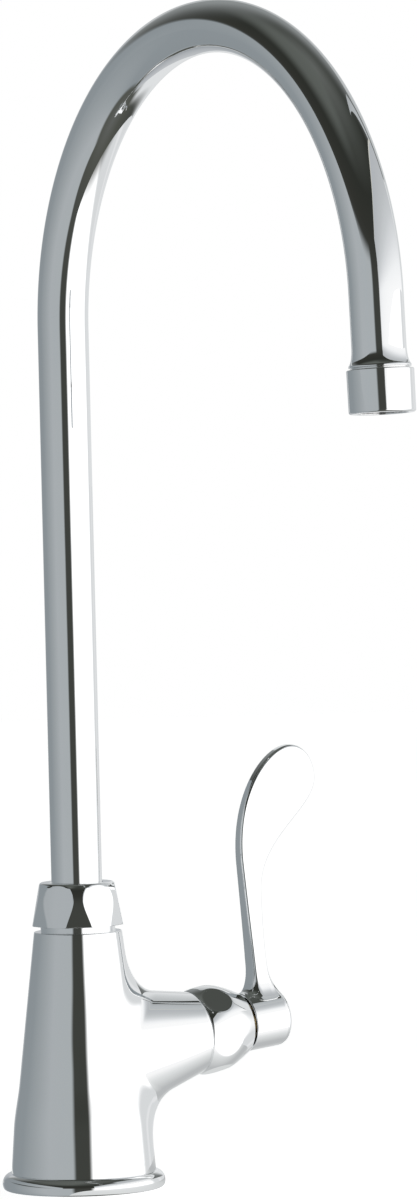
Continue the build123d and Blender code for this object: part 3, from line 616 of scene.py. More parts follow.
def white_panel(tree, azimuth, elevation, climb, light):
    """The light with the white panel on the right over it, and how strongly each direction shines."""
    away = maths(tree, "RADIANS", maths(tree, "SUBTRACT", azimuth, PANEL_MIDDLE))
    ahead = maths(tree, "MAXIMUM", maths(tree, "COSINE", away), LEAST_COSINE)
    rise = maths(tree, "DIVIDE", climb, ahead)
    past = slanted(tree, azimuth, elevation, *PANEL_SLANT)
    panel = mix(tree, edge(tree, past, *PANEL_END), shade(255, 255, 255), shade(*PANEL_END_SHADE))
    panel = mix(tree, band(tree, azimuth, *PANEL_LINE), panel, shade(*PANEL_LINE_SHADE))
    on_panel = every(
        tree, band(tree, azimuth, *PANEL_AZIMUTHS), band(tree, rise, *PANEL_RISE),
        edge(tree, elevation, *PANEL_FOOT))
    bright = every(tree, on_panel, below(tree, past, *BRIGHT_END), below(tree, rise, *BRIGHT_TOP))
    strength = maths(tree, "ADD", 1.0, maths(tree, "MULTIPLY", bright, BRIGHT_LIGHT - 1))
    return mix(tree, on_panel, light, panel), strength


def make_world():
    """The studio's light for the object, and plain white behind it."""
    world = bpy.data.worlds.new("studio")
    bpy.context.scene.world = world
    world.use_nodes = True
    tree = world.node_tree
    tree.nodes.clear()
    azimuth, elevation, climb = studio_angles(tree)
    light = grey_board(tree, azimuth, elevation, dark_room(tree, azimuth, elevation))
    light, strength = white_panel(tree, azimuth, elevation, climb, light)
    studio = add(tree, "Background", {0: light, 1: strength})
    plain = add(tree, "Background", {0: (1, 1, 1, 1), 1: 1.0})
    seen = add(tree, "LightPath").outputs["Is Camera Ray"]
    both = add(tree, "MixShader", {0: seen, 1: studio.outputs[0], 2: plain.outputs[0]})
    add(tree, "OutputWorld", {0: both.outputs[0]})


def make_camera():
    """The photograph's camera: a long lens from the front left, level with the spout's middle."""
    data = bpy.data.cameras.new("camera")
    data.sensor_fit = "VERTICAL"
    data.sensor_height = SENSOR_HEIGHT
    data.lens = FOCAL_PIXELS * SENSOR_HEIGHT / FRAME_HEIGHT
    camera = bpy.data.objects.new("camera", data)
    bpy.context.scene.collection.objects.link(camera)
    turn = Matrix.Rotation(radians(-CAMERA_AZIMUTH), 4, "Z")
    tilt = Matrix.Rotation(radians(90 + CAMERA_PITCH), 4, "X")
    roll = Matrix.Rotation(radians(CAMERA_ROLL), 4, "Z")
    camera.matrix_world = Matrix.Translation(Vector(CAMERA_PLACE) * MM) @ turn @ tilt @ roll
    data.clip_start, data.clip_end = 0.1, 50.0
    bpy.context.scene.camera = camera


def bare_material(name):
    """A material with an empty node tree."""
    material = bpy.data.materials.new(name)
    material.use_nodes = True
    material.node_tree.nodes.clear()
    return material, material.node_tree


def flat_piece(name, corners, material):
    """One flat face between corners given in metres."""
    mesh = bpy.data.meshes.new(name)
    mesh.from_pydata(np.array(corners).tolist(), [], [list(range(len(corners)))])
    mesh.materials.append(material)
    made = bpy.data.objects.new(name, mesh)
    bpy.context.scene.collection.objects.link(made)
    return made


def make_floor():
    """A pale round floor that glows a little, so that it meets the white behind it."""
    material, tree = bare_material("pale_floor")
    matt = add(tree, "BsdfDiffuse", {"Color": (*[FLOOR_GREY] * 3, 1)})
    glow = add(tree, "Emission", {"Strength": FLOOR_GLOW})
    both = add(tree, "AddShader", {0: matt.outputs[0], 1: glow.outputs[0]})
    add(tree, "OutputMaterial", {0: both.outputs[0]})
    angles = np.linspace(0, 2 * pi, FLOOR_CORNERS, endpoint=False)
    floor = flat_piece("floor", carry_round(1.0, 0.0, angles) * FLOOR_RADIUS, material)
    floor.visible_glossy = False


def glowing(name, axis, sight, stops):
    """A plain glow between two ray lengths, whose shade changes along an axis by (place, shade) stops."""
    material, tree = bare_material(name)
    low, high = stops[0][0], stops[-1][0]
    place = add(tree, "TexCoord").outputs["Object"]
    along = add(tree, "SeparateXYZ", {0: place}).outputs[axis]
    share = add(tree, "MapRange", {0: along, 1: low, 2: high}).outputs[0]
    stops = [((at - low) / (high - low), parts) for at, parts in stops]
    glow = add(tree, "Emission", {"Color": ramp(tree, share, *stops)}).outputs[0]
    clear = add(tree, "BsdfTransparent").outputs[0]
    length = add(tree, "LightPath").outputs["Ray Length"]
    too_near = maths(tree, "LESS_THAN", length, sight[0])
    unseen = maths(tree, "MAXIMUM", too_near, maths(tree, "GREATER_THAN", length, sight[1]))
    both = add(tree, "MixShader", {0: unseen, 1: glow, 2: clear})
    add(tree, "OutputMaterial", {0: both.outputs[0]})
    return material


def stage_card(name, corners, material):
    """A flat card of the studio, seen only in reflections."""
    card = flat_piece(name, corners, material)
    card.visible_camera = False
    card.visible_diffuse = False
    card.visible_shadow = False


def rectangle(across, along):
    """The four corners of a rectangle in turn, from its two spans."""
    (left, right), (near, far) = across, along
    return (left, near), (right, near), (right, far), (left, far)


def upright_board(name, azimuth, distance, reach, heights, sight, axis, stops):
    """A board that faces the object from an azimuth."""
    turn = radians(azimuth + STUDIO_TURN)
    middle = np.array([sin(turn), -cos(turn)]) * distance
    side = np.array([cos(turn), sin(turn)])
    corners = [(*(middle + side * x), z) for x, z in rectangle(reach, heights)]
    stage_card(name, corners, glowing(name + "_glow", axis, sight, stops))


def make_boards():
    """The near things that the pieces mirror: boards on three sides, and the table with the arm's shadow
    painted into its glow.
    """
    for board in BOARDS:
        upright_board(*board)
    # The table's glow is a painted shadow of the arm, not light that the arm really blocks
    corners = [(x, y, TABLE_LIFT) for x, y in rectangle(*TABLE_REACH)]
    stage_card("table_shade", corners, glowing("table_shadow_glow", Y, TABLE_SIGHT, TABLE_SHADOW_SHADES))


# Shared effects

def noise(tree, place, scale, detail, roughness, distortion=0.0):
    inputs = {"Vector": place, "Scale": scale, "Detail": detail, "Roughness": roughness,
              "Distortion": distortion}
    return add(tree, "TexNoise", inputs).outputs["Fac"]


def stretched(tree, place, factors):
    return add(tree, "VectorMath", {0: place, 1: factors}, operation="MULTIPLY").outputs[0]


def polish_haze(tree, place, patches, streaks):
    """The faint haze that wiping leaves on bright metal: wide patches times fine stretched streaks."""
    wide = edge(tree, noise(tree, place, patches, 3.0, 0.6), 0.52, 0.3)
    fine = noise(tree, stretched(tree, place, (1.0, 1.0, 0.12)), streaks, 2.0, 0.6, 0.4)
    return [maths(tree, "MULTIPLY", wide, fine)]


def cast_ripple(tree, place, size):
    """The slow ripple that hand polishing leaves in a casting, as a height."""
    return [noise(tree, place, size, 1.0, 0.4)]


def tool_lines(tree, place, lines):
    """Fine turned or drawn lines: noise squeezed along one direction, as a value."""
    return [noise(tree, stretched(tree, place, (1.0, 0.05, 0.05)), lines, 3.0, 0.7)]


def moulded_grain(tree, place, size):
    """The fine grain of moulded and fired pieces: small cells and soft mottling, as two values."""
    coarse = maths(tree, "MULTIPLY", size, 0.04)
    return [noise(tree, place, size, 3.0, 0.7), noise(tree, place, coarse, 3.0, 0.6)]


def make_effect(build, sizes, results):
    """A node group that gives named values for a place and for sizes, which have their usual values."""
    group = bpy.data.node_groups.new(build.__name__, "ShaderNodeTree")
    group.interface.new_socket(name="Place", in_out="INPUT", socket_type="NodeSocketVector")
    for key, usual in sizes.items():
        size = group.interface.new_socket(name=key, in_out="INPUT", socket_type="NodeSocketFloat")
        size.default_value = usual
    for key in results:
        group.interface.new_socket(name=key, in_out="OUTPUT", socket_type="NodeSocketFloat")
    given = group.nodes.new("NodeGroupInput").outputs
    result = group.nodes.new("NodeGroupOutput").inputs
    for key, value in zip(results, build(group, given["Place"], *(given[key] for key in sizes))):
        group.links.new(value, result[key])
    return group


def effect(tree, name, **sizes):
    """What a shared effect gives at the piece's own coordinates."""
    place = add(tree, "TexCoord").outputs["Object"]
    return add(tree, "Group", {"Place": place, **sizes}, node_tree=EFFECTS[name]).outputs


def bright(tree, size):
    """Polished or plated metal: a haze greys and roughens it, and a slow ripple bends its reflections."""
    haze = effect(tree, "polish_haze")["Haze"]
    return haze, haze, effect(tree, "cast_ripple", Size=size)["Height"], 1.0


def worked(tree, size):
    """Metal as the tool leaves it: fine lines in its colour, roughness and surface."""
    marks = effect(tree, "tool_lines", Lines=size)["Value"]
    haze = effect(tree, "polish_haze", Patches=80.0)["Haze"]
    return maths(tree, "MULTIPLY", maths(tree, "ADD", marks, haze), 0.6), marks, marks, 0.5


def moulded(tree, size):
    """Rubber, plastic or ceramic: a fine grain and a soft mottle in its colour and roughness."""
    grain, mottle = effect(tree, "moulded_grain", Size=size)
    return mottle, grain, grain, 0.6


def make_finish(name, kind, light, dark, rough, depth, size):
    """A material whose colour, roughness and relief follow what its kind makes of the shared effects."""
    material = bpy.data.materials.new(name)
    material.use_nodes = True
    tree = material.node_tree
    shader = tree.nodes["Principled BSDF"].inputs
    shader["Metallic"].default_value = 0.0 if kind is moulded else 1.0
    tint, wear, height, strength = kind(tree, size)
    tree.links.new(mix(tree, tint, (*light, 1), (*dark, 1)), shader["Base Color"])
    spread = add(tree, "MapRange", {0: wear, 3: rough[0], 4: rough[1]})
    tree.links.new(spread.outputs[0], shader["Roughness"])
    relief = add(tree, "Bump", {"Height": height, "Distance": depth, "Strength": strength})
    tree.links.new(relief.outputs[0], shader["Normal"])
    return material


# The material of each slot of the record, and two more for the drawn and the turned chrome pieces: name,
# kind, two colours, span of its roughness, depth of its relief in metres and size of its marks
FINISH_KINDS = {
    "polished_chrome": ("chrome_on_casting", bright, *CHROME, (0.025, 0.05), 0.0011, 24.0),
    "drawn_chrome": ("chrome_on_tube", bright, *CHROME, (0.02, 0.04), 0.0001, 30.0),
    "turned_chrome": ("chrome_on_turned", bright, *CHROME, (0.02, 0.04), 0.0001, 60.0),
    "plated_brass": (
        "plated_brass", bright, (0.86, 0.86, 0.86), (0.78, 0.78, 0.78), (0.12, 0.25), 0.00002, 60.0),
    "plain_brass": (
        "plain_brass", worked, (0.82, 0.63, 0.30), (0.62, 0.45, 0.20), (0.22, 0.38), 0.00002, 2500.0),
    "stainless_steel": (
        "stainless_steel", worked, (0.62, 0.61, 0.59), (0.46, 0.45, 0.44), (0.25, 0.42), 0.00002, 3000.0),
    "steel_mesh": (
        "steel_mesh", worked, (0.58, 0.57, 0.56), (0.34, 0.34, 0.34), (0.28, 0.45), 0.00002, 6000.0),
    "black_rubber": (
        "black_rubber", moulded, (0.024, 0.024, 0.025), (0.04, 0.04, 0.04), (0.5, 0.7), 0.00003, 3000.0),
    "white_acetal": (
        "white_acetal", moulded, (0.84, 0.84, 0.82), (0.78, 0.78, 0.76), (0.32, 0.46), 0.00001, 3000.0),
    "white_ceramic": (
        "white_ceramic", moulded, (0.90, 0.89, 0.86), (0.84, 0.83, 0.80), (0.08, 0.16), 0.000005, 3000.0),
}


# Base ring and body

def base_ring():
    """The bead: a quarter oval from the cone's foot down to its widest place, and one from there down."""
    angle = np.linspace(0, pi / 2, BEAD_STEPS)
    over = joined(FOOT_RADIUS + (RING_RADIUS - FOOT_RADIUS) * np.sin(angle),
                  RING_WIDEST + (RING_HEIGHT - RING_WIDEST) * np.cos(angle))
    under = joined(RING_RADIUS - RING_TUCK + RING_TUCK * np.cos(angle),
                   RING_WIDEST - RING_WIDEST * np.sin(angle))
    return turned(rounded(
        *passing(over), *passing(under[1:]), (RING_LIP, 0, BORE_EDGE), (RING_LIP, GASKET_TOP, 0),
        (RING_BORE, GASKET_TOP, 0), (RING_BORE, RING_HEIGHT, SEAM_EDGE),
    ))


def cone_radius(height):
    """The casting's radius by height: two straight cones, and a cubic between that meets both in line."""
    low = (BELLY_RADIUS - FOOT_RADIUS) / (BELLY_HEIGHT - RING_HEIGHT)
    high = (SHOULDER_RADIUS - WAIST_RADIUS) / (SHOULDER_HEIGHT - WAIST_HEIGHT)
    rise = WAIST_HEIGHT - BELLY_HEIGHT
    t = np.clip((height - BELLY_HEIGHT) / rise, 0, 1)
    middle = (
        (2 * t ** 3 - 3 * t ** 2 + 1) * BELLY_RADIUS + (t ** 3 - 2 * t ** 2 + t) * rise * low
        + (3 * t ** 2 - 2 * t ** 3) * WAIST_RADIUS + (t ** 3 - t ** 2) * rise * high
    )
    return middle + low * np.minimum(height - BELLY_HEIGHT, 0) + high * np.maximum(height - WAIST_HEIGHT, 0)


def off_cone(place):
    """How far a place lies outside the cone, square to its side, with the slope over one millimetre."""
    x, y, z = np.moveaxis(place, -1, 0)
    slope = cone_radius(z + 0.5) - cone_radius(z - 0.5)
    return (np.hypot(x, y) - cone_radius(z)) / np.sqrt(1 + slope ** 2)


def arm_side(along, turn):
    """The arm's side in the part's frame: at each distance along its axis an oval, whose half height, half
    width and drop run in straight lines from the root to the round end."""
    share = along / ARM_LENGTH
    up = ARM_ROOT_UP + (ARM_END_RADIUS - ARM_ROOT_UP) * share
    side = ARM_ROOT_SIDE + (ARM_END_RADIUS - ARM_ROOT_SIDE) * share
    return on_arm(joined(up * np.cos(turn) - ARM_ROOT_DROP * (1 - share), side * np.sin(turn), along))


def solve(measure, target, low, high):
    """Where a rising measure reaches its target, by halving the range again and again."""
    low, high = (np.zeros(target.shape) + end for end in (low, high))
    for _ in range(SOLVE_STEPS):
        middle = (low + high) / 2
        above = measure(middle) > target
        high = np.where(above, middle, high)
        low = np.where(above, low, middle)
    return (low + high) / 2


def normal_of(measure, place):
    """The direction in which a measure of places rises fastest."""
    return unit(joined(*(measure(place + step) - measure(place - step) for step in np.eye(3) * NUDGE)))


def hollow(start, start_normal, corner, end, end_normal, steps):
    """Rows between two surfaces that would cross at a corner: cubic curves that leave the first and meet the
    second in line. Their handles are 4/3 tan(d/4) / tan(d/2) of each leg for an opening d, as in an oval."""
    opening = np.arccos(np.clip(np.sum(start_normal * end_normal, axis=-1), -1, 1))[..., None]
    share = 4 / 3 * np.tan(opening / 4) / np.tan(opening / 2)
    handles = []
    for place, normal in ((start, start_normal), (end, end_normal)):
        leg = corner - place
        flat = leg - np.sum(leg * normal, axis=-1, keepdims=True) * normal
        handles.append(place + unit(flat) * np.linalg.norm(leg, axis=-1, keepdims=True) * share)
    return cubic(np.linspace(0, 1, steps)[:, None, None], start, *handles, end)


def by_side(values, turn):
    """A value by the direction from the axis: one above, one beside and one below, eased into each other."""
    above, beside, below = values
    lift = np.cos(turn)
    return beside + np.where(lift > 0, above - beside, below - beside) * lift ** 2


def cone_outline():
    """The cone's outline: from the inlet's roof round foot, side and boss to the spout bore's floor."""
    cone = np.arange(RING_HEIGHT + CONE_MARGIN, SHOULDER_HEIGHT - CONE_MARGIN, CONE_STEP)
    floor = BOSS_TOP - SPOUT_BORE_DEPTH
    return rounded(
        (0, INLET_DEPTH, None), (INLET_RADIUS, INLET_DEPTH, 0), (INLET_RADIUS, 0, 0), (PILOT_RADIUS, 0, 0),
        (PILOT_RADIUS, GASKET_TOP, 0), (SPIGOT_RADIUS, GASKET_TOP, 0), (SPIGOT_RADIUS, RING_HEIGHT, 0),
        (FOOT_RADIUS, RING_HEIGHT, 0), *passing(joined(cone_radius(cone), cone)),
        (SHOULDER_RADIUS, SHOULDER_HEIGHT, SHOULDER_ROUNDING), (BOSS_RADIUS, SHOULDER_HEIGHT, 0),
        (BOSS_RADIUS, BOSS_TOP, 0), (SPOUT_BORE, BOSS_TOP, 0), (SPOUT_BORE, floor, 0), (0, floor, None),
    )


def window_rim(low, high, left, right):
    """Rows and columns of the grid points round a window: along its foot, up, back along its head, down."""
    rows = [np.full(right - left, low), np.arange(low, high),
            np.full(right - left, high), np.arange(high, low, -1)]
    columns = [np.arange(left, right), np.full(high - low, right),
               np.arange(right, left, -1), np.full(high - low, left)]
    return np.concatenate(rows), np.concatenate(columns)


def faucet_body():
    """The casting: a turned cone with a window, the arm that stands in it, and a skin between the two."""
    outline = cone_outline()
    radius, height = outline.T
    angle = np.linspace(-pi, pi, ROUND_STEPS, endpoint=False)
    cone = carry_round(outline[:, :1], outline[:, 1:], -angle).reshape(-1, 3)
    faces = grid_faces(len(outline), ROUND_STEPS)
    on_side = np.flatnonzero((height > WINDOW_LOW) & (height < WINDOW_HIGH) & (radius > SHOULDER_RADIUS))
    inside = np.flatnonzero(np.abs(angle) < radians(WINDOW_HALF_ANGLE))
    low, high, left, right = on_side[0], on_side[-1], inside[0], inside[-1]
    row, column = faces[:, 0] // ROUND_STEPS, faces[:, 0] % ROUND_STEPS
    faces = faces[~((row >= low) & (row < high) & (column >= left) & (column < right))]
    rows, columns = window_rim(low, high, left, right)
    arm = arm_and_skin(angle[columns], height[rows])
    numbers = np.concatenate([rows * ROUND_STEPS + columns, len(cone) + np.arange(len(arm) * len(rows))])
    faces = np.concatenate([faces, numbers[grid_faces(len(arm) + 1, len(rows))]])
    used, faces = np.unique(faces, return_inverse=True)
    return np.concatenate([cone, arm.reshape(-1, 3)])[used], faces.reshape(-1, 4)


def on_cone(swing, height):
    """Places on the cone's side by the angle towards the front and the height."""
    radius = cone_radius(height)
    return joined(radius * np.cos(swing), -radius * np.sin(swing), height)


def arm_root(turn, start, along):
    """Rows of the skin from its oval on the cone to where it meets the arm, in line with both."""
    crossing = solve(lambda place: off_cone(arm_side(place, turn)), np.zeros(turn.shape), 0.0, ARM_LENGTH)
    across = arm_side(along, turn + TURN_NUDGE) - arm_side(along, turn - TURN_NUDGE)
    forward = arm_side(along + NUDGE, turn) - arm_side(along - NUDGE, turn)
    return hollow(start, normal_of(off_cone, start), arm_side(crossing, turn), arm_side(along, turn),
                  unit(np.cross(across, forward)), SKIN_ROWS)


def valve_chamber():
    """The arm's outline from its edge over the boss into the valve's bore and to the middle of the seat."""
    end = ARM_LENGTH + ARM_BOSS_LENGTH
    return rounded(
        (ARM_END_RADIUS, ARM_LENGTH - 1, None), (ARM_END_RADIUS, ARM_LENGTH, ARM_EDGE),
        (ARM_BOSS_RADIUS, ARM_LENGTH, 0), (ARM_BOSS_RADIUS, end, 0), (VALVE_BORE, end, 0),
        (VALVE_BORE, VALVE_SEAT, 0), (0, VALVE_SEAT, None),
    )[2:]


def arm_and_skin(angle, height):
    """Rows of points from the window's rim, given by angle and height on the cone, to the arm's bore."""
    middle = (WINDOW_LOW + WINDOW_HIGH) / 2
    turn = np.arctan2(angle / radians(WINDOW_HALF_ANGLE), (height - middle) / (WINDOW_HIGH - middle))
    lift = (SKIN_TOP + SKIN_LOW) / 2 + (SKIN_TOP - SKIN_LOW) / 2 * np.cos(turn)
    swing = radians(SKIN_SPREAD) * np.sin(turn)
    along = by_side(SKIN_ON_ARM, turn)
    share = np.linspace(0, 1, WINDOW_ROWS)[1:-1, None] ** WINDOW_CROWDING
    skin = on_cone(angle + (swing - angle) * share, height + (lift - height) * share)
    share = np.linspace(0, 1, ARM_ROWS)[1:, None]
    side = arm_side(along + (ARM_LENGTH - ARM_EDGE - HOLD - along) * share, turn)
    chamber = valve_chamber()
    return np.concatenate([skin, arm_root(turn, on_cone(swing, lift), along), side,
                           on_arm(carry_round(chamber[:, :1], chamber[:, 1:], turn))])


# Spout

def spout_tube():
    """The tube: a circle carried up the riser, round the bend and down the drop, where its radius follows
    the flare, then back along the bore."""
    flare_end = FLARE_DROP + FLARE_LENGTH
    rim = flare_end - FLARE_RIM
    flare = bezier(
        (TUBE_RADIUS, FLARE_DROP), (TUBE_RADIUS, FLARE_DROP + FLARE_HANDLE),
        (FLARE_RADIUS - FLARE_LIP_HANDLE, rim - FLARE_LIP_HANDLE), (FLARE_RADIUS, rim), steps=20)
    bend = radians(BEND_ANGLE) * BEND_RADIUS
    riser = np.linspace(TUBE_BASE - SPRING_LINE, 0, RISER_ROWS)
    run = np.concatenate([riser, np.linspace(0, bend, BEND_ROWS)[1:]])
    mouth = rounded(*passing(flare), (FLARE_RADIUS, flare_end, FLARE_EDGE), (TUBE_RADIUS, flare_end, 0),
                    (TUBE_BORE, FLARE_DROP, None))
    outline = np.concatenate([joined(TUBE_RADIUS, run), mouth + (0, bend), joined(TUBE_BORE, run[::-1])])
    return carried(outline), grid_faces(len(outline), TUBE_STEPS, ring=True)


def carried(outline):
    """A (radius, distance) outline about the spout's centre line, which is straight before and after the
    bend. In the bend, from distance nought, it runs at y = R (cos a - 1), z = R sin a."""
    radius, run = outline.T
    angle = np.clip(run / BEND_RADIUS, 0, radians(BEND_ANGLE))
    rest = run - angle * BEND_RADIUS
    centre = joined(0.0, BEND_RADIUS * (np.cos(angle) - 1) - rest * np.sin(angle),
                    SPRING_LINE + BEND_RADIUS * np.sin(angle) + rest * np.cos(angle))
    outer = joined(0.0, np.cos(angle), np.sin(angle))
    around = np.linspace(0, 2 * pi, TUBE_STEPS, endpoint=False)[:, None]
    circle = np.cos(around) * np.array([1.0, 0, 0]) + np.sin(around) * outer[:, None]
    return centre[:, None] + radius[:, None, None] * circle


def spout_nut():
    """The hexagon nut: a cubic through foot, waist and shoulder turned about the axis, with six flats. Its
    corners are flattened too, from nothing at the collar's space outwards."""
    shoulder = NUT_TOP - NUT_ROUNDING
    height = np.linspace(NUT_FOOT_HEIGHT, shoulder - NUT_BASE, NUT_ROWS)
    places = [(NUT_FOOT_HEIGHT, NUT_RADIUS), *NUT_WAIST, (height[-1], NUT_SHOULDER_RADIUS)]
    side = joined(through(places, height), height + NUT_BASE)
    corner = side[-1] + unit(side[-1] - side[-2]) * NUT_SIDE_HANDLE
    top = bezier(
        side[-1], corner, (corner[0] - NUT_TOP_HANDLE, NUT_TOP), (NUT_TOP_RADIUS, NUT_TOP), steps=10)
    outline = rounded(
        (NUT_RADIUS - NUT_FOOT_TUCK, NUT_BASE, NUT_FOOT_EDGE), *passing(side), *passing(top[1:]),
        (NUT_HOLE, NUT_TOP, SOFT_EDGE), (NUT_HOLE, SLIP_RING_TOP, 0), (COLLAR_SPACE, SLIP_RING_TOP, 0),
        (COLLAR_SPACE, BOSS_TOP, 0), (BOSS_RADIUS + SEATING, BOSS_TOP, 0),
        (BOSS_RADIUS + SEATING, NUT_BASE, SEAM_EDGE),
    )
    base_flat, top_flat = NUT_FLATS
    lean = (base_flat - top_flat) / (NUT_TOP - NUT_BASE)
    outer = np.clip((outline[:, :1] - COLLAR_SPACE) / NUT_FLAT_FADE, 0, 1) * (outline[:, 1:] < shoulder)
    return six_flats(
        outline, lambda place: base_flat - lean * (place - NUT_BASE), NUT_TURN, outer, NUT_CROWN)


def aerator_shell():
    """The aerator's sleeve: a slightly tapered tube with a rounded foot and an inward lip."""
    top = FLARE_DROP + FLARE_LENGTH + SHELL_GAP
    end = top + SHELL_LENGTH
    return placed(on_outlet, turned(rounded(
        (SHELL_RADIUS, top, SHELL_TOP_EDGE), (SHELL_END_RADIUS, end, SHELL_EDGE),
        (SHELL_MOUTH, end, SOFT_EDGE), (SHELL_MOUTH, end - SHELL_LIP, 0), (SHELL_BORE, end - SHELL_LIP, 0),
        (SHELL_BORE, top, SEAM_EDGE),
    )))


# Valve and lever

def valve_bonnet():
    """The bonnet: a curve through foot, belly, shoulder and end turned about the arm, with oval flats."""
    along = np.linspace(BONNET_START, BONNET_END[0], BONNET_ROWS)
    places = [(0, ARM_END_RADIUS), *BONNET_BELLY, BONNET_SHOULDER, BONNET_END]
    side = joined(through(places, along), along + ARM_LENGTH)
    foot, end = ARM_LENGTH + SEATING, ARM_LENGTH + BONNET_LENGTH
    ledge = ARM_LENGTH + ARM_BOSS_LENGTH + FLANGE_THICKNESS
    top = bezier(
        side[-1], side[-1] + BONNET_END_HANDLE, (BONNET_FACE_RADIUS + BONNET_FACE_HANDLE, end),
        (BONNET_FACE_RADIUS, end), steps=8)
    outline = rounded(
        (ARM_END_RADIUS, foot, ARM_EDGE), *passing(side), *passing(top[1:]), (BONNET_HOLE, end, BORE_EDGE),
        (BONNET_HOLE, ledge, 0), (ARM_BOSS_RADIUS + SEATING, ledge, 0), (ARM_BOSS_RADIUS + SEATING, foot, 0),
    )
    return placed(on_arm, six_flats(outline, lambda place: BONNET_FLAT, BONNET_TURN))


def hub():
    """The lever's hub: a turned barrel with a rounded outer end and the seat of its cap."""
    seat = HUB_END - CAP_THICKNESS
    return placed(on_arm, turned(rounded(
        (HUB_BORE, HUB_BASE, BORE_EDGE), (HUB_RADIUS, HUB_BASE, HUB_INNER_EDGE),
        (HUB_RADIUS, HUB_END, HUB_ROUNDING), (CAP_RADIUS + SEATING, HUB_END, SEAM_EDGE),
        (CAP_RADIUS + SEATING, seat, 0), (HUB_BORE, seat, 0),
    )))


def off_hub(place):
    """How far a (up, front, along) place lies outside the hub, whose outer end is rounded."""
    over = np.hypot(place[..., 0], place[..., 1]) - (HUB_RADIUS - HUB_ROUNDING)
    past = place[..., 2] - (HUB_END - HUB_ROUNDING)
    outside = np.hypot(np.maximum(over, 0), np.maximum(past, 0))
    return outside + np.minimum(np.maximum(over, past), 0) - HUB_ROUNDING


def evenly(points, steps):
    """A line divided again by its length, at the shares 1 - (1 - t)^1.5, which crowd towards its end."""
    lengths = np.concatenate([[0], np.cumsum(np.linalg.norm(np.diff(points, axis=0), axis=1))])
    places = (1 - (1 - np.linspace(0, 1, steps)) ** BLADE_CROWDING) * lengths[-1]
    return joined(*(np.interp(places, lengths, column) for column in points.T))


def blade_edges():
    """The blade's left and right edges from root to tip, as (along the hub, up) points."""
    left, top, shoulder, neck, root = (
        np.array(place) for place in (BLADE_LEFT, BLADE_TOP, BLADE_SHOULDER, BLADE_NECK, BLADE_RIGHT_ROOT))
    left_edge = np.concatenate([
        [(left[0] - BLADE_ROOT_LEAN, 0.0)],
        bezier(left, left + (0, LEFT_HANDLE), top - (TOP_HANDLE_LEFT, 0), top, steps=200),
    ])
    right_edge = np.concatenate([
        [(root[0], 0.0)],
        bezier(root, root + (0, ROOT_HANDLE), neck + NECK_HANDLE_DOWN, neck, steps=30),
        bezier(neck, neck + NECK_HANDLE_UP, shoulder - (0, PADDLE_HANDLE), shoulder, steps=200)[1:],
        bezier(shoulder, shoulder + (0, TIP_HANDLE), top + (TOP_HANDLE_RIGHT, 0), top, steps=100)[1:],
    ])
    return left_edge, right_edge


def blade_section():
    """The columns of a rounded four-sided section: shares of its inner width and thickness, then how far its
    rounding stands out along the width and along the thickness, as a direction."""
    most, (on_face, on_edge, on_side) = SECTION_MARGIN, SECTION_STEPS
    face = np.concatenate([[-1, -FACE_MARGIN], np.linspace(-most, most, on_face), [FACE_MARGIN, 1]])
    arc = np.linspace(pi / 2, 0, on_edge)
    half = np.concatenate([
        joined(face, 1, 0, 1), joined(1, 1, np.cos(arc), np.sin(arc))[1:],
        joined(1, np.linspace(most, -most, on_side), 1, 0), joined(1, -1, np.sin(arc), -np.cos(arc))[:-1],
    ])
    return np.concatenate([half, -half]).T


def blade_half(up):
    """Half the blade's thickness by height: a cubic through its measured places, level at the root."""
    return np.minimum(through(BLADE_SIDES, up), BLADE_SIDES[0][1])


def outward_of(line, sign):
    """The directions square to a line of (along, up) points, with the last one straight up."""
    run = unit(np.gradient(line, axis=0))
    out = sign * joined(run[:, 1], -run[:, 0])
    out[-1] = (0, 1)
    return out


def blade_rows(section, left, right):
    """Sections between the blade's edges, as (up, front, along). The faces lie inside a margin, from which
    the rounding stands out square to each edge."""
    across, deep, side, out = section
    left_out, right_out = outward_of(left, -1), outward_of(right, 1)
    above = np.minimum(left[:, 1], right[:, 1]) > STRAIGHT_TOP
    left, left_out, right, right_out = (rows[above][:, None] for rows in (left, left_out, right, right_out))
    share = (across[:, None] + 1) / 2
    grown = (BLADE_EDGE * np.abs(side))[:, None] * np.where(side[:, None] < 0, left_out, right_out)
    left, right = left - BLADE_EDGE * left_out, right - BLADE_EDGE * right_out
    along, up = np.moveaxis(left * (1 - share) + right * share + grown, -1, 0)
    return joined(up, deep * (blade_half(up) - BLADE_EDGE) + BLADE_EDGE * out, along)


def blade_wall(section, up, left, right):
    """Sections of the blade's straight root at given heights, between two places along the hub."""
    across, deep, side, out = section
    along = left + BLADE_EDGE + (right - left - 2 * BLADE_EDGE) * (across + 1) / 2 + BLADE_EDGE * side
    return joined(up, deep * (blade_half(up) - BLADE_EDGE) + BLADE_EDGE * out, along)


def blade():
    """The wrist blade: sections carried from root to tip between its two edges, rounded along them, with a
    hollow at the root that meets the hub in line, and an end sunk in the hub."""
    section = blade_section()
    across, deep, side, out = section
    left, right = (evenly(line, BLADE_ROWS) for line in blade_edges())
    ends = left[0, 0], right[0, 0]
    end = blade_wall(section, ROOT_TOP, *ends)
    start = on_hub(end[:, 1:] + joined(ROOT_SPREAD[0] * out, ROOT_SPREAD[1] * side))
    square = joined(0.0, out, side)
    root = hollow(start, normal_of(off_hub, start), on_hub(end[:, 1:]), end, square, ROOT_ROWS)
    straight = blade_wall(section, np.linspace(ROOT_TOP, STRAIGHT_TOP, STRAIGHT_ROWS)[1:, None], *ends)
    smaller = 1 - ROOT_SINK / HUB_RADIUS
    middle = np.zeros((1, len(across), 3)) + ROOT_MIDDLE
    sunk = start[None] * (smaller, smaller, ROOT_SINK_SHARE) + (0, 0, ROOT_MIDDLE[2] * (1 - ROOT_SINK_SHARE))
    shape = np.concatenate([middle, sunk, root, straight, blade_rows(section, left, right)])
    return on_arm(shape), grid_faces(len(shape), len(across))


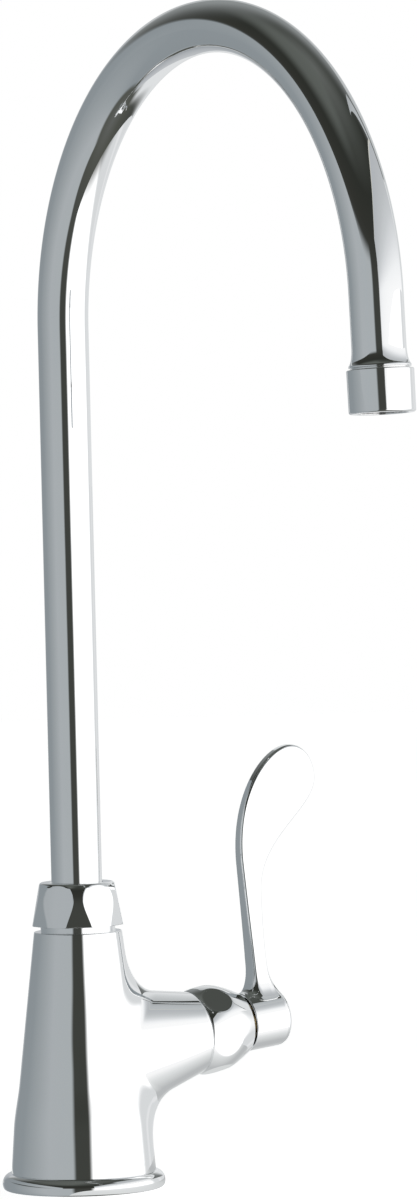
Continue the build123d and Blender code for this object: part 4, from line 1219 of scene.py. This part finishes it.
def on_hub(plan):
    """Places on the hub's upper side, given as (front, along). Its round end lets them down to the cap."""
    front, along = plan[..., 0], plan[..., 1]
    past = np.clip(along - (HUB_END - HUB_ROUNDING), 0, HUB_ROUNDING)
    radius = HUB_RADIUS - HUB_ROUNDING + np.sqrt(HUB_ROUNDING ** 2 - past ** 2)
    return joined(np.sqrt(radius ** 2 - front ** 2), front, along)


def index_cap():
    """The plain cap in the hub's end, very slightly domed: its rise falls with the square of the radius."""
    seat = HUB_END - CAP_THICKNESS
    radius = np.linspace(0, CAP_RADIUS - CAP_EDGE, DOME_STEPS)[::-1]
    top = joined(radius, HUB_END - CAP_DOME * (radius / CAP_RADIUS) ** 2)
    return placed(on_arm, turned(rounded(
        (0, seat, None), (CAP_RADIUS, seat, SEAM_EDGE), (CAP_RADIUS, HUB_END - CAP_DOME, CAP_RIM_EDGE),
        *passing(top[1:]),
    )))


make_world()
make_camera()
make_floor()
make_boards()
bpy.context.scene.view_settings.view_transform = "Standard"

EFFECTS = {
    "polish_haze": make_effect(polish_haze, {"Patches": 25.0, "Streaks": 900.0}, ["Haze"]),
    "cast_ripple": make_effect(cast_ripple, {"Size": 60.0}, ["Height"]),
    "tool_lines": make_effect(tool_lines, {"Lines": 2500.0}, ["Value"]),
    "moulded_grain": make_effect(moulded_grain, {"Size": 3000.0}, ["Grain", "Mottle"]),
}
FINISHES = {slot: make_finish(*parts) for slot, parts in FINISH_KINDS.items()}
SLOTS = {part["node"]: part["material_slot"] for part in frame["record"]["subparts"]}
for name, node in frame["nodes"].items():
    node.data.materials.clear()
    node.data.materials.append(FINISHES[SLOTS[name]])

FORMS = (
    ("bead_ring", "base_ring", "body", "turned_chrome", [base_ring()]),
    ("cast_body", "faucet_body", "body", "polished_chrome", [faucet_body()]),
    ("hexagon_nut", "spout_nut", "body", "turned_chrome", [spout_nut()]),
    ("bonnet_nut", "valve_bonnet", "body", "turned_chrome", [valve_bonnet()]),
    ("gooseneck", "spout_tube", "spout", "drawn_chrome", [spout_tube()]),
    ("aerator_sleeve", "aerator_shell", "spout", "turned_chrome", [aerator_shell()]),
    ("wrist_lever", "lever", "lever", "turned_chrome", [hub(), blade()]),
    ("hub_cap", "index_cap", "lever", "turned_chrome", [index_cap()]),
)
for name, node, body, look, surfaces in FORMS:
    piece(name, node, body, FINISHES[look], surfaces)
